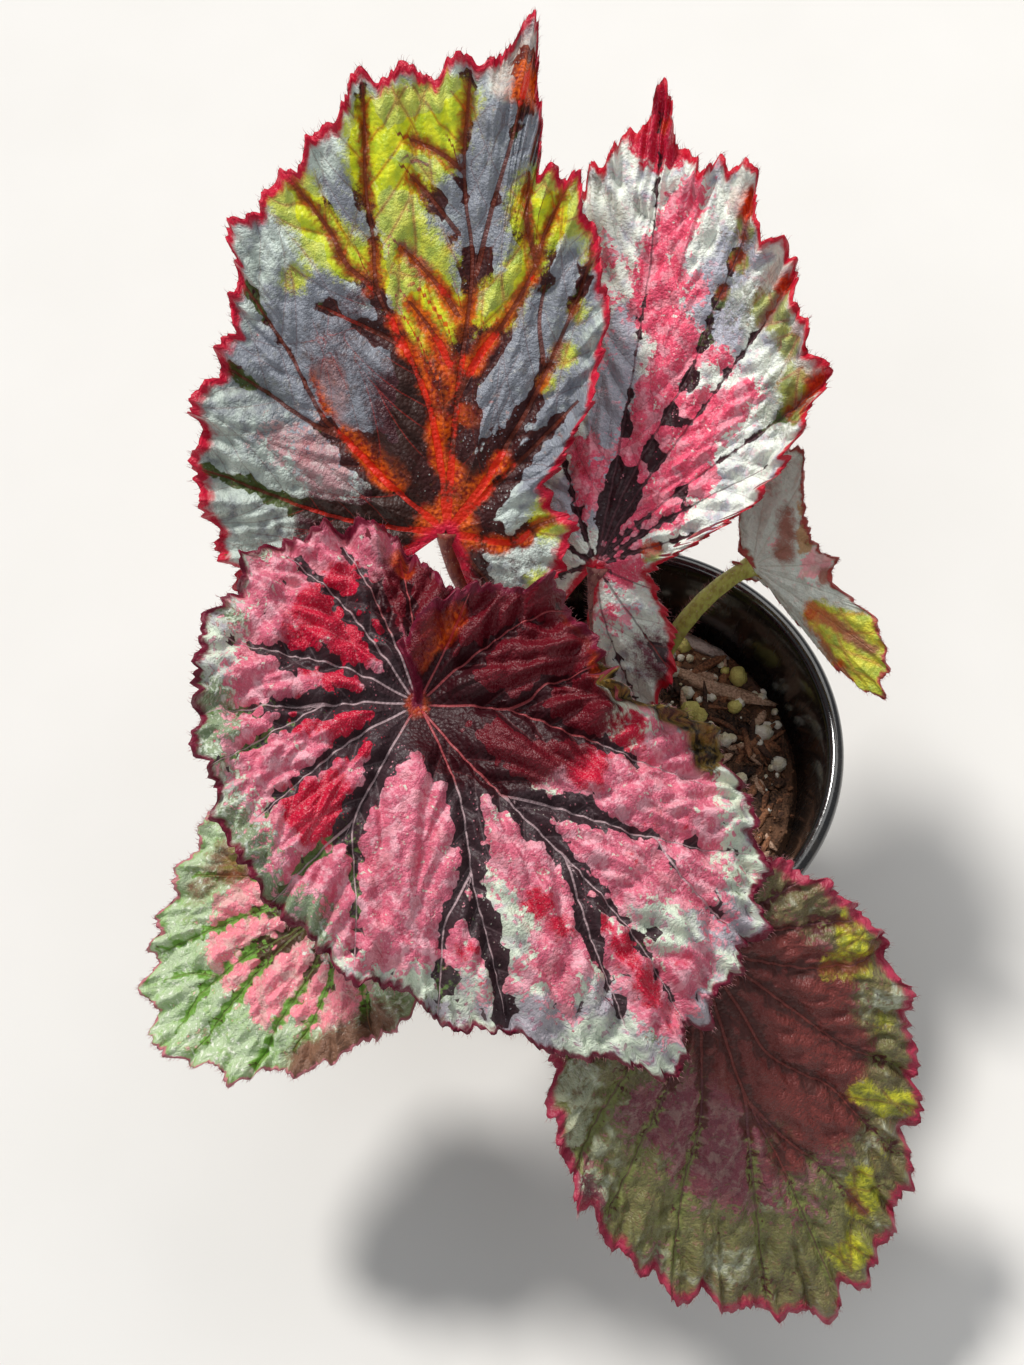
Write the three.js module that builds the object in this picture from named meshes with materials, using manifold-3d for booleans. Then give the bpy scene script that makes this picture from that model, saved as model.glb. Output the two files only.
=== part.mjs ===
// A potted rex begonia: six broad crinkled leaves on fleshy stalks, rising from a creeping rhizome
// in gritty potting mix, in a round thin-walled nursery pot.
// Millimetres, +Z up. The origin is the centre of the pot's flat base, on the surface it stands on.
import * as THREE from "three";
import { mergeVertices } from "three/addons/utils/BufferGeometryUtils.js";
import Module from "manifold-3d";

const wasm = await Module();
wasm.setup();

// ---- driving dimensions ----
const clearance = 0.3; // between neighbouring pieces
const pot = {
  rimRadius: 57, // outside of the rolled lip
  baseRadius: 40,
  height: 95,
  wall: 1.6,
  floor: 2,
  lipRadius: 2.2,
  collarHeight: 11,
  collarStep: 1.4, // how far the collar below the lip stands out from the wall
  footChamfer: 1,
  drainHoles: 8,
  drainHoleRadius: 4,
  drainCircle: 30,
  sides: 44,
};
const soil = {
  surface: 70, // mean height of the potting mix
  crown: 3, // how much higher it is at the middle
  perliteGrains: 26,
  perliteSize: 4.6,
  barkPieces: 18,
  barkLength: 13,
  barkWidth: 3.4,
  seed: 7,
};
const rhizome = {
  radius: 5.5,
  sides: 10,
  rings: 18,
  knuckle: 0.45, // swelling at each leaf scar
  scars: 6,
  endRadius: 0.55, // of the full radius, where its rounded ends begin
  route: [
    [-27, -6, 67],
    [-13, -3, 69],
    [0, 4, 70],
    [8, 16, 70],
  ],
};
const stalk = {
  footRadius: 2.7,
  topRadius: 2.1,
  footDepth: 6, // below the surface of the mix
  rise: 32, // how far it heads straight up from its foot
  tuck: 0.8, // from the blade's lower face to the end of its centre line
  sides: 8,
  rings: 10,
};
const blade = {
  thickness: 0.8,
  ribDepth: 1.5, // how far the main veins stand out underneath, beside the stalk
  ribEnd: 0.75, // share of the vein's length at which the rib has run out
  columnsPerVein: 3,
  rings: 5,
  droopPower: 1.6, // how late along a vein its lift comes in
  rippleDepth: 0.02, // fine scalloping of the margin, as a share of the vein's length
  ripplesPerVein: 1.5,
  tipPower: 1.5, // how sharply the drawn-out point narrows
  pleatEnd: 0.75, // share of half a wave that a pleat has gone through at the margin
};

// Each leaf: the joint where its stalk meets the blade, the heading of its midrib, how the blade
// tips up and rolls there, the foot of its stalk on the rhizome, the lead from the joint back down
// the stalk, and its veins in turn from one side of the notch at its base to the other, as
// [angle from the midrib, length, lift off the leaf's plane at the margin, extra angle at its root].
// The first and last rows are the edges of the notch. dome arches the whole blade, pleat raises it
// between its veins, ruffle waves its margin, lobe is the depth of the bays between veins, and tip
// is [vein, extra length] of the drawn-out point.
const leaves = {
  leafFront: {
    joint: [-50, -14, 150],
    heading: -55,
    pitch: -10,
    roll: 0,
    foot: [-17, -8],
    lead: [-3, 9, -22],
    dome: 4,
    pleat: 3,
    ruffle: 2,
    phase: 0.4,
    lobe: 0.035,
    tip: [8, 9],
    veins: [
      [-226, 24, -3, 34],
      [-198, 43, 2, 8],
      [-168, 50, 3, 0],
      [-140, 52, 0, 0],
      [-115, 51, -4, 0],
      [-88, 53, -9, 0],
      [-51, 61, -17, 0],
      [-22, 75, -19, 16],
      [1, 93, -16, 4],
      [12, 97, -14, -4],
      [23, 95, -12, -10],
      [34, 87, -8, -10],
      [48, 71, -1, 0],
      [66, 45, 6, 0],
      [92, 40, 10, 0],
      [120, 26, 12, -6],
      [172, 10, 10, -32],
    ],
  },
  leafBacklit: {
    joint: [-44, 31, 150],
    heading: 85,
    pitch: 38,
    roll: 0,
    foot: [-9, 3],
    lead: [-1, -8, -22],
    dome: -3,
    pleat: 2.2,
    ruffle: 1.2,
    phase: 1.1,
    lobe: 0.035,
    tip: [8, 23],
    veins: [
      [-158, 19, -10, 0],
      [-122, 28, -6, 0],
      [-86, 30, -4, 0],
      [-60, 27, -2, 0],
      [-44, 51, 0, 4],
      [-28, 70, 0, 6],
      [-17, 86, 0, 5],
      [-11, 89, 0, 2],
      [-6, 100, 0, 0],
      [5, 105, 0, -4],
      [14, 105, 0, -6],
      [25, 92, -1, -5],
      [38, 86, -2, -5],
      [50, 70, -3, -3],
      [66, 67, -4, 0],
      [84, 62, -7, 0],
      [100, 57, -11, 0],
      [116, 54, -15, 0],
      [130, 41, -17, 0],
    ],
  },
  leafPink: {
    joint: [-8, 28, 138],
    heading: 80,
    pitch: 26,
    roll: -8,
    foot: [1, 9],
    lead: [-1, -13, -19],
    dome: -2,
    pleat: 2,
    ruffle: 1.2,
    phase: 2.3,
    lobe: 0.035,
    tip: [12, 20],
    veins: [
      [-191, 22, -26, 10],
      [-162, 37, -32, 0],
      [-142, 31, -30, 0],
      [-108, 15, -17, 0],
      [-82, 14, -7, 0],
      [-69, 27, -4, 0],
      [-60, 46, -2, 0],
      [-51, 58, 0, 2],
      [-42, 72, 0, 4],
      [-27, 83, 0, 5],
      [-12, 101, 0, 4],
      [-4, 98, 0, 0],
      [2, 96, 0, 0],
      [8, 97, 0, -2],
      [13, 89, 0, -4],
      [20, 68, -2, -2],
      [32, 44, -4, 0],
      [60, 25, -7, 0],
      [104, 19, -10, 0],
      [143, 16, -12, 0],
    ],
  },
  leafHanging: {
    joint: [15, -61, 116],
    heading: -72,
    pitch: -42,
    roll: 0,
    foot: [-5, -8],
    lead: [-5, 18, 2],
    dome: 4,
    pleat: 2.2,
    ruffle: 1.6,
    phase: 0.2,
    lobe: 0.04,
    tip: [8, 4],
    veins: [
      [-153, 12, -5, 0],
      [-104, 23, -4, 0],
      [-73, 40, -2, 0],
      [-56, 53, 0, 0],
      [-41, 68, 0, 0],
      [-28, 79, 0, 6],
      [-17, 91, 0, 6],
      [-6, 99, 0, 4],
      [5, 106, 0, 0],
      [14, 103, 0, -4],
      [25, 89, 0, -6],
      [39, 72, 0, 0],
      [57, 57, 0, 0],
      [76, 47, 0, 0],
      [98, 35, -1, 0],
      [126, 27, -3, 0],
      [147, 14, -5, 0],
    ],
  },
  leafLow: {
    joint: [-65, -42, 108],
    heading: -130,
    pitch: -22,
    roll: 0,
    foot: [-24, -11],
    lead: [15, 18, -4],
    dome: 4,
    pleat: 2.4,
    ruffle: 1.6,
    phase: 0.9,
    lobe: 0.05,
    tip: [4, 0],
    veins: [
      [-106, 24, -4, 0],
      [-76, 42, -2, 0],
      [-56, 46, 0, 0],
      [-40, 53, 0, 0],
      [-27, 60, 0, 5],
      [-12, 65, 0, 0],
      [5, 57, 0, -4],
      [24, 47, 0, 0],
      [52, 37, 0, 0],
      [81, 34, -1, 0],
      [112, 23, -3, 0],
      [156, 12, -5, 0],
    ],
  },
  leafYoung: {
    joint: [32, 36, 122],
    heading: -42,
    pitch: -12,
    roll: 50,
    foot: [6, 17],
    lead: [-16, -1, -16],
    dome: 0,
    pleat: 0.8,
    ruffle: 0.7,
    phase: 0.9,
    lobe: 0.05,
    tip: [4, 4],
    veins: [
      [-150, 5, -2, 0],
      [-100, 9, -6, 0],
      [-55, 13, -8, 0],
      [-25, 24, -7, 0],
      [-8, 42, 0, 0],
      [9, 41, 0, 0],
      [25, 34, 0, 0],
      [44, 24, 0, 0],
      [72, 21, 0, 0],
      [98, 30, 0, 0],
      [112, 34, 0, 0],
      [136, 17, 0, 0],
      [160, 5, 0, 0],
    ],
  },
};

// ---- materials ----
function finish(color, roughness) {
  return new THREE.MeshStandardMaterial({ color, roughness, metalness: 0 });
}

const blackPlastic = finish(0x101113, 0.35);
const pottingMix = finish(0x3a2a20, 0.95);
const rhizomeSkin = finish(0x6b4a33, 0.8);
const wineLeaf = finish(0x6e2237, 0.5);
const silverLeaf = finish(0x8f8f86, 0.5);
const pinkLeaf = finish(0xc25570, 0.5);
const greenLeaf = finish(0x7d8f45, 0.5);

// ---- small tools ----
function random(seed) {
  let state = seed;
  return () => {
    state = (state * 1664525 + 1013904223) % 4294967296;
    return state / 4294967296;
  };
}

// A closed geometry as a solid, with its shared vertices merged and its collapsed faces dropped.
function solid(geometry) {
  const bare = geometry.clone();
  bare.deleteAttribute("normal");
  bare.deleteAttribute("uv");
  const merged = mergeVertices(bare, 1e-4);
  const index = merged.index.array;
  const triVerts = [];
  for (let i = 0; i < index.length; i += 3) {
    const [a, b, c] = [index[i], index[i + 1], index[i + 2]];
    if (a !== b && b !== c && a !== c) triVerts.push(a, b, c);
  }
  const mesh = new wasm.Mesh({
    numProp: 3,
    vertProperties: new Float32Array(merged.attributes.position.array),
    triVerts: new Uint32Array(triVerts),
  });
  return new wasm.Manifold(mesh);
}

// The biggest body of a solid, without the crumbs that a cut leaves loose.
function withoutCrumbs(body) {
  return body.decompose().sort((a, b) => b.volume() - a.volume())[0];
}

function geometryOf(body) {
  const mesh = body.getMesh();
  const geometry = new THREE.BufferGeometry();
  geometry.setAttribute("position", new THREE.BufferAttribute(mesh.vertProperties, 3));
  geometry.setIndex(new THREE.BufferAttribute(mesh.triVerts, 1));
  geometry.computeVertexNormals();
  return geometry;
}

function named(name, geometry, material) {
  const mesh = new THREE.Mesh(geometry, material);
  mesh.name = name;
  return mesh;
}

// A profile of [radius, height] points, from axis to axis, turned about Z.
function turned(profile, sides) {
  const points = profile.map(([radius, height]) => new THREE.Vector2(radius, height));
  return new THREE.LatheGeometry(points, sides).rotateX(Math.PI / 2);
}

// A closed tube whose radius may change along a curve. extra makes it fatter and longer all round.
function tube(curve, radiusAt, sides, rings, extra) {
  const frames = curve.computeFrenetFrames(rings, false);
  const positions = [];
  const index = [];
  for (let i = 0; i <= rings; i++) {
    const beyond = i === 0 ? -extra : i === rings ? extra : 0;
    const centre = curve.getPointAt(i / rings).addScaledVector(frames.tangents[i], beyond);
    const radius = radiusAt(i / rings) + extra;
    for (let j = 0; j < sides; j++) {
      const turn = (j / sides) * Math.PI * 2;
      const point = centre
        .clone()
        .addScaledVector(frames.normals[i], Math.cos(turn) * radius)
        .addScaledVector(frames.binormals[i], Math.sin(turn) * radius);
      positions.push(point.x, point.y, point.z);
    }
  }
  for (let i = 0; i < rings; i++) {
    for (let j = 0; j < sides; j++) {
      const [a, b] = [i * sides + j, i * sides + ((j + 1) % sides)];
      index.push(a, b, b + sides, a, b + sides, a + sides);
    }
  }
  for (let j = 1; j < sides - 1; j++) {
    const last = rings * sides;
    index.push(0, j + 1, j, last, last + j, last + j + 1);
  }
  const geometry = new THREE.BufferGeometry();
  geometry.setAttribute("position", new THREE.Float32BufferAttribute(positions, 3));
  geometry.setIndex(index);
  return geometry;
}

// ---- the pot ----
const rimInside = pot.rimRadius - pot.lipRadius * 2;

function insideRadius(height) {
  const foot = pot.baseRadius - pot.wall;
  return foot + ((rimInside - foot) * height) / pot.height;
}

function potProfile() {
  const collarFoot = pot.height - pot.collarHeight;
  const outside = (height) => insideRadius(height) + pot.wall;
  const lipCentre = [pot.rimRadius - pot.lipRadius, pot.height - pot.lipRadius];
  const lip = [];
  for (let degrees = -60; degrees <= 180; degrees += 40) {
    const turn = THREE.MathUtils.degToRad(degrees);
    lip.push([
      lipCentre[0] + pot.lipRadius * Math.cos(turn),
      lipCentre[1] + pot.lipRadius * Math.sin(turn),
    ]);
  }
  return [
    [0, 0],
    [pot.baseRadius - pot.footChamfer, 0],
    [pot.baseRadius, pot.footChamfer],
    [outside(collarFoot), collarFoot],
    [outside(collarFoot) + pot.collarStep, collarFoot + 1],
    [outside(collarFoot) + pot.collarStep, pot.height - pot.lipRadius * 2],
    ...lip,
    [insideRadius(pot.floor), pot.floor],
    [0, pot.floor],
  ];
}

function makePot() {
  let body = solid(turned(potProfile(), pot.sides));
  for (let i = 0; i < pot.drainHoles; i++) {
    const turn = (i / pot.drainHoles) * Math.PI * 2;
    const drill = new THREE.CylinderGeometry(pot.drainHoleRadius, pot.drainHoleRadius, 3 * pot.floor, 12);
    drill.rotateX(Math.PI / 2);
    drill.translate(Math.cos(turn) * pot.drainCircle, Math.sin(turn) * pot.drainCircle, pot.floor / 2);
    body = body.subtract(solid(drill));
  }
  return named("pot", geometryOf(body), blackPlastic);
}

// ---- the leaves ----
// Smooth curve through one column of the vein rows, at a place between veins.
function along(rows, column, place) {
  const value = (k) => rows[k][column];
  const last = rows.length - 1;
  const k = Math.min(Math.floor(place), last - 1);
  const f = place - k;
  const slope = (i) => {
    if (i === 0) return value(1) - value(0);
    if (i === last) return value(last) - value(last - 1);
    return (value(i + 1) - value(i - 1)) / 2;
  };
  return (
    value(k) * (2 * f ** 3 - 3 * f ** 2 + 1) +
    slope(k) * (f ** 3 - 2 * f ** 2 + f) +
    value(k + 1) * (3 * f ** 2 - 2 * f ** 3) +
    slope(k + 1) * (f ** 3 - f ** 2)
  );
}

function leafFrame(leaf) {
  const radians = THREE.MathUtils.degToRad;
  return new THREE.Matrix4()
    .makeTranslation(...leaf.joint)
    .multiply(new THREE.Matrix4().makeRotationZ(radians(leaf.heading)))
    .multiply(new THREE.Matrix4().makeRotationY(-radians(leaf.pitch)))
    .multiply(new THREE.Matrix4().makeRotationX(radians(leaf.roll)));
}

// The point of the upper face at a place among the veins and a share of the way to the margin.
function bladePoint(leaf, place, share) {
  const waveTurn = 2 * Math.PI * place;
  const between = Math.sin(Math.PI * place) ** 2;
  const [tipVein, tipLength] = leaf.tip;
  const point = Math.max(0, 1 - Math.abs(place - tipVein)) ** blade.tipPower;
  const bay = leaf.lobe * between * share ** 3;
  const ripple = blade.rippleDepth * share ** 4 * Math.sin(blade.ripplesPerVein * waveTurn + leaf.phase);
  const length = along(leaf.veins, 1, place) + tipLength * point * share ** 2;
  const reach = length * share * (1 - bay + ripple);
  const angle = along(leaf.veins, 0, place) + along(leaf.veins, 3, place) * (1 - share) ** 2;
  const turn = THREE.MathUtils.degToRad(angle);
  const height =
    along(leaf.veins, 2, place) * share ** blade.droopPower +
    leaf.dome * 2 * share * (1 - share) +
    leaf.pleat * between * Math.sin(Math.PI * blade.pleatEnd * share) +
    leaf.ruffle * share ** 4 * Math.sin(waveTurn + leaf.phase);
  return new THREE.Vector3(reach * Math.cos(turn), reach * Math.sin(turn), height);
}

// The upper face's normal there, from its slopes both ways.
function bladeNormal(leaf, place, share) {
  if (share === 0) return new THREE.Vector3(0, 0, 1);
  const last = leaf.veins.length - 1;
  const step = 0.02;
  const across = bladePoint(leaf, Math.min(place + step, last), share);
  across.sub(bladePoint(leaf, Math.max(place - step, 0), share));
  const outward = bladePoint(leaf, place, share);
  outward.sub(bladePoint(leaf, place, share - step));
  return outward.cross(across).normalize();
}

// A blade closed all round: its upper face, the same triangles below it, and its edges. The main
// veins stand out underneath as ribs that run out towards the margin.
function bladeGeometry(leaf) {
  const columns = (leaf.veins.length - 1) * blade.columnsPerVein;
  const positions = [];
  const index = [];
  const addPoint = (point) => positions.push(point.x, point.y, point.z);
  const addPair = (place, share, rib) => {
    const top = bladePoint(leaf, place, share);
    const depth = blade.thickness + rib;
    const bottom = top.clone().addScaledVector(bladeNormal(leaf, place, share), -depth);
    addPoint(top);
    addPoint(bottom);
  };
  const quad = (a, b, c, d) => index.push(a, b, c, a, c, d);
  const top = (column, ring) => (ring === 0 ? 0 : 2 * (1 + column * blade.rings + ring - 1));
  const bottom = (column, ring) => top(column, ring) + 1;

  addPair(0, 0, blade.ribDepth);
  for (let column = 0; column <= columns; column++) {
    for (let ring = 1; ring <= blade.rings; ring++) {
      const share = ring / blade.rings;
      const onVein = column % blade.columnsPerVein === 0;
      const rib = onVein ? blade.ribDepth * Math.max(0, 1 - share / blade.ribEnd) : 0;
      addPair(column / blade.columnsPerVein, share, rib);
    }
  }
  for (let column = 0; column < columns; column++) {
    const next = column + 1;
    index.push(0, top(column, 1), top(next, 1));
    index.push(1, bottom(next, 1), bottom(column, 1));
    for (let ring = 1; ring < blade.rings; ring++) {
      quad(top(column, ring), top(column, ring + 1), top(next, ring + 1), top(next, ring));
      const low = [column, next].map((c) => [bottom(c, ring), bottom(c, ring + 1)]);
      index.push(low[0][0], low[1][1], low[0][1], low[0][0], low[1][0], low[1][1]);
    }
    const rim = blade.rings;
    quad(top(column, rim), bottom(column, rim), bottom(next, rim), top(next, rim));
  }
  for (let ring = 0; ring < blade.rings; ring++) {
    quad(top(0, ring), bottom(0, ring), bottom(0, ring + 1), top(0, ring + 1));
    quad(top(columns, ring + 1), bottom(columns, ring + 1), bottom(columns, ring), top(columns, ring));
  }
  const geometry = new THREE.BufferGeometry();
  geometry.setAttribute("position", new THREE.Float32BufferAttribute(positions, 3));
  geometry.setIndex(index);
  return geometry.applyMatrix4(leafFrame(leaf));
}

// A stalk leaves the rhizome upright, leans over, and comes in below the blade at its joint.
function stalkCurve(leaf) {
  const foot = new THREE.Vector3(...leaf.foot, soil.surface - stalk.footDepth);
  const rise = foot.clone().add(new THREE.Vector3(0, 0, stalk.rise));
  const lead = new THREE.Vector3(...leaf.joint).add(new THREE.Vector3(...leaf.lead));
  const under = new THREE.Vector3(0, 0, -blade.thickness - stalk.tuck).applyMatrix4(leafFrame(leaf));
  return new THREE.CubicBezierCurve3(foot, rise, lead, under);
}

function stalkGeometry(leaf, extra = 0) {
  const radiusAt = (share) => stalk.footRadius + (stalk.topRadius - stalk.footRadius) * share;
  return tube(stalkCurve(leaf), radiusAt, stalk.sides, stalk.rings, extra);
}

function makeLeaf(name, leaf, material) {
  const root = solid(rhizomeGeometry(clearance));
  const body = solid(stalkGeometry(leaf)).subtract(root).add(solid(bladeGeometry(leaf)));
  return named(name, geometryOf(withoutCrumbs(body)), material);
}

// ---- the rhizome ----
function rhizomeGeometry(extra = 0) {
  const curve = new THREE.CatmullRomCurve3(rhizome.route.map((point) => new THREE.Vector3(...point)));
  const radiusAt = (share) => {
    const swell = Math.sqrt(Math.sin(Math.PI * (0.06 + 0.88 * share)));
    const knuckles = rhizome.knuckle * Math.cos(2 * Math.PI * rhizome.scars * share);
    return (rhizome.radius + knuckles) * (rhizome.endRadius + (1 - rhizome.endRadius) * swell);
  };
  return tube(curve, radiusAt, rhizome.sides, rhizome.rings, extra);
}

// ---- the potting mix ----
const soilEdge = insideRadius(soil.surface) - clearance;

// The mix is mounded a little round the plant.
function surfaceHeight(radius) {
  const share = Math.min(1, radius / soilEdge);
  return soil.surface - 1 + (soil.crown + 1) * Math.cos((Math.PI / 2) * share);
}

function soilProfile() {
  const bottom = pot.floor + clearance;
  const top = [1, 0.75, 0.5, 0.25, 0].map((share) => [share * soilEdge, surfaceHeight(share * soilEdge)]);
  return [[0, bottom], [insideRadius(bottom) - clearance, bottom], ...top];
}

// Lies anywhere on the surface, more or less evenly, by turning the golden angle each time.
function scatterPlace(i, count, draw) {
  const goldenAngle = Math.PI * (3 - Math.sqrt(5));
  const radius = (insideRadius(soil.surface) - 8) * Math.sqrt((i + 0.5) / count);
  const turn = i * goldenAngle + draw() * 0.5;
  return [radius * Math.cos(turn), radius * Math.sin(turn)];
}

function perliteGrain(i, draw) {
  const size = soil.perliteSize * (0.6 + 0.6 * draw()) * 0.5;
  const grain = new THREE.IcosahedronGeometry(size, 0);
  grain.rotateX(draw() * Math.PI);
  grain.rotateZ(draw() * Math.PI);
  const [x, y] = scatterPlace(i, soil.perliteGrains, draw);
  return grain.translate(x, y, surfaceHeight(Math.hypot(x, y)) + size * 0.3);
}

function barkPiece(i, draw) {
  const length = soil.barkLength * (0.6 + 0.6 * draw());
  const width = soil.barkWidth * (0.7 + 0.6 * draw());
  const piece = new THREE.CylinderGeometry(width * 0.35, width * 0.5, length, 5);
  piece.rotateZ(Math.PI / 2 - 0.12 + draw() * 0.24);
  piece.rotateX(Math.PI / 2);
  piece.rotateZ(draw() * Math.PI * 2);
  const [x, y] = scatterPlace(i + 0.37, soil.barkPieces, draw);
  return piece.translate(x * 0.92, y * 0.92, surfaceHeight(Math.hypot(x, y)) + width * 0.15);
}

function makeSoil() {
  const draw = random(soil.seed);
  let body = solid(turned(soilProfile(), pot.sides));
  for (let i = 0; i < soil.perliteGrains; i++) body = body.add(solid(perliteGrain(i, draw)));
  for (let i = 0; i < soil.barkPieces; i++) body = body.add(solid(barkPiece(i, draw)));
  body = body.subtract(solid(rhizomeGeometry(clearance)));
  for (const leaf of Object.values(leaves)) body = body.subtract(solid(stalkGeometry(leaf, clearance)));
  return named("potting_mix", geometryOf(withoutCrumbs(body)), pottingMix);
}

// ---- the whole plant ----
const begonia = new THREE.Group();
begonia.add(makePot());
begonia.add(makeSoil());
begonia.add(named("rhizome", geometryOf(solid(rhizomeGeometry())), rhizomeSkin));
begonia.add(makeLeaf("leaf_front", leaves.leafFront, wineLeaf));
begonia.add(makeLeaf("leaf_backlit", leaves.leafBacklit, silverLeaf));
begonia.add(makeLeaf("leaf_pink", leaves.leafPink, pinkLeaf));
begonia.add(makeLeaf("leaf_hanging", leaves.leafHanging, wineLeaf));
begonia.add(makeLeaf("leaf_low", leaves.leafLow, greenLeaf));
begonia.add(makeLeaf("leaf_young", leaves.leafYoung, greenLeaf));

export default begonia;
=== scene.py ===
import math
import bpy
import numpy as np
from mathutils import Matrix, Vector


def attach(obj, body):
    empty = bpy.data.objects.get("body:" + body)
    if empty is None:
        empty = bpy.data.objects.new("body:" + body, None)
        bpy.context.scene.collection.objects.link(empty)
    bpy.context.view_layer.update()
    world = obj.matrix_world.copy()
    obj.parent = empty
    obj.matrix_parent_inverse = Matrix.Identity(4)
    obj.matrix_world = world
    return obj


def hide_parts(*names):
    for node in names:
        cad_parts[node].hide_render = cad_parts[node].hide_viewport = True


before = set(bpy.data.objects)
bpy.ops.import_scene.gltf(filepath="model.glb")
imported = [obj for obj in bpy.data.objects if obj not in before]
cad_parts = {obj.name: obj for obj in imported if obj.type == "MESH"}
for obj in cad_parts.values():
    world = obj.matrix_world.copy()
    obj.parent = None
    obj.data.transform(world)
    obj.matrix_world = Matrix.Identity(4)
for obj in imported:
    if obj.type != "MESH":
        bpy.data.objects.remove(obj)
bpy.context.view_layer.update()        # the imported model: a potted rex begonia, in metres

mm = 0.001
scene = bpy.context.scene
gridDetail = 1.0        # a coarser grid while other pieces are worked on


# ---------- camera: looks down on the plant from in front of the pot
view = {
    "place": (-28.4, -193.6, 566.0),        # mm
    "tilt": 24,                             # degrees from straight down
    "lens": 52.3,
}
lens = bpy.data.cameras.new("camera")
lens.lens = view["lens"]
lens.sensor_width = 36
camera = bpy.data.objects.new("camera", lens)
camera.location = Vector(view["place"]) * mm
camera.rotation_euler = (math.radians(view["tilt"]), 0, 0)
scene.collection.objects.link(camera)
scene.camera = camera
print("camera placed")


# ---------- shader maths
def tone(red, green, blue):        # a screen colour, 0 to 255, as the linear one that shaders use
    def linear(value):
        share = value / 255
        return share / 12.92 if share <= 0.04045 else ((share + 0.055) / 1.055) ** 2.4
    return (linear(red), linear(green), linear(blue), 1.0)


class Wire:        # a socket; maths on it adds Math nodes, and node() adds any other node
    def __init__(self, tree, socket=None):
        self.tree = tree
        self.socket = socket

    def node(self, kind, settings, sockets, output=0):
        made = self.tree.nodes.new(kind)
        for name, value in settings.items():
            setattr(made, name, value)
        for name, value in sockets.items():
            if isinstance(value, Wire):
                self.tree.links.new(value.socket, made.inputs[name])
            else:
                made.inputs[name].default_value = value
        return Wire(self.tree, made.outputs[output])

    def also(self, output):        # another output of the same node
        return Wire(self.tree, self.socket.node.outputs[output])

    def attribute(self, name, output="Fac"):        # a value kept on the mesh
        return self.node("ShaderNodeAttribute", {"attribute_name": name}, {}, output)

    def maths(self, operation, *values):
        return self.node("ShaderNodeMath", {"operation": operation}, dict(enumerate(values)))

    def __add__(self, other):
        return self.maths("ADD", self, other)

    def __radd__(self, other):
        return self.maths("ADD", other, self)

    def __sub__(self, other):
        return self.maths("SUBTRACT", self, other)

    def __rsub__(self, other):
        return self.maths("SUBTRACT", other, self)

    def __mul__(self, other):
        return self.maths("MULTIPLY", self, other)

    def __rmul__(self, other):
        return self.maths("MULTIPLY", other, self)


def least(first, second):
    return first.maths("MINIMUM", first, second)


def most(first, second):
    return first.maths("MAXIMUM", first, second)


def rise(value, low, high):        # 0 below low, 1 above high, smooth between
    return value.node("ShaderNodeMapRange", {"interpolation_type": "SMOOTHSTEP"},
                      {"Value": value, "From Min": low, "From Max": high}, "Result")


def mix(share, first, second):        # colours
    return share.node("ShaderNodeMix", {"data_type": "RGBA"}, {0: share, 6: first, 7: second}, 2)


def times(first, second):        # one colour multiplied by another
    return first.node("ShaderNodeMix", {"data_type": "RGBA", "blend_type": "MULTIPLY"},
                      {0: 1.0, 6: first, 7: second}, 2)


def scaled(vector, factors):
    return vector.node("ShaderNodeVectorMath", {"operation": "MULTIPLY"}, {0: vector, 1: factors})


def noise(vector, scale, detail=2.0):
    return vector.node("ShaderNodeTexNoise", {}, {"Vector": vector, "Scale": scale, "Detail": detail}, "Fac")


def cells(vector, scale):
    return vector.node("ShaderNodeTexVoronoi", {}, {"Vector": vector, "Scale": scale}, "Distance")


def bumped(height, depth, strength):        # depth in metres for a height from 0 to 1
    sockets = {"Height": height, "Distance": depth, "Strength": strength}
    return height.node("ShaderNodeBump", {}, sockets, "Normal")


def newMaterial(name, **fixed):        # fixed values go straight on the shader's own sockets
    material = bpy.data.materials.new(name)
    material.use_nodes = True
    shader = material.node_tree.nodes["Principled BSDF"]
    for socket, value in fixed.items():
        shader.inputs[socket.replace("_", " ")].default_value = value
    return material


def feed(material, **inputs):
    shader = material.node_tree.nodes["Principled BSDF"]
    for socket, wire in inputs.items():
        material.node_tree.links.new(wire.socket, shader.inputs[socket.replace("_", " ")])


def placeWire(material):        # the row frame's own coordinates, in millimetres
    wire = Wire(material.node_tree)
    return scaled(wire.node("ShaderNodeTexCoord", {}, {}, "Object"), (1000, 1000, 1000))


# ---------- mesh tools
def newPiece(name, points, faces, node, materials):        # points in mm
    mesh = bpy.data.meshes.new(name)
    mesh.from_pydata(np.asarray(points, float) * mm, [], faces)
    mesh.update()
    mesh.polygons.foreach_set("use_smooth", [True] * len(mesh.polygons))
    piece = bpy.data.objects.new(name, mesh)
    scene.collection.objects.link(piece)
    for material in materials:
        mesh.materials.append(material)
    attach(piece, "root")
    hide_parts(node)
    return piece


def addValues(mesh, name, values):
    mesh.attributes.new(name, "FLOAT", "POINT").data.foreach_set("value", np.asarray(values, np.float32))


def smoothly(value, low, high):
    share = np.clip((value - low) / (high - low), 0, 1)
    return share * share * (3 - 2 * share)


def waves(along, lengths, heights, draw):        # smooth random waves of several lengths
    total = np.zeros_like(along)
    for length, height in zip(lengths, heights):
        drift = 0.9 * np.sin(2 * np.pi * along / (length * 4.3) + draw.uniform(0, 6.28))
        total += height * np.sin(2 * np.pi * along / length + drift + draw.uniform(0, 6.28))
    return total


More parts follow.
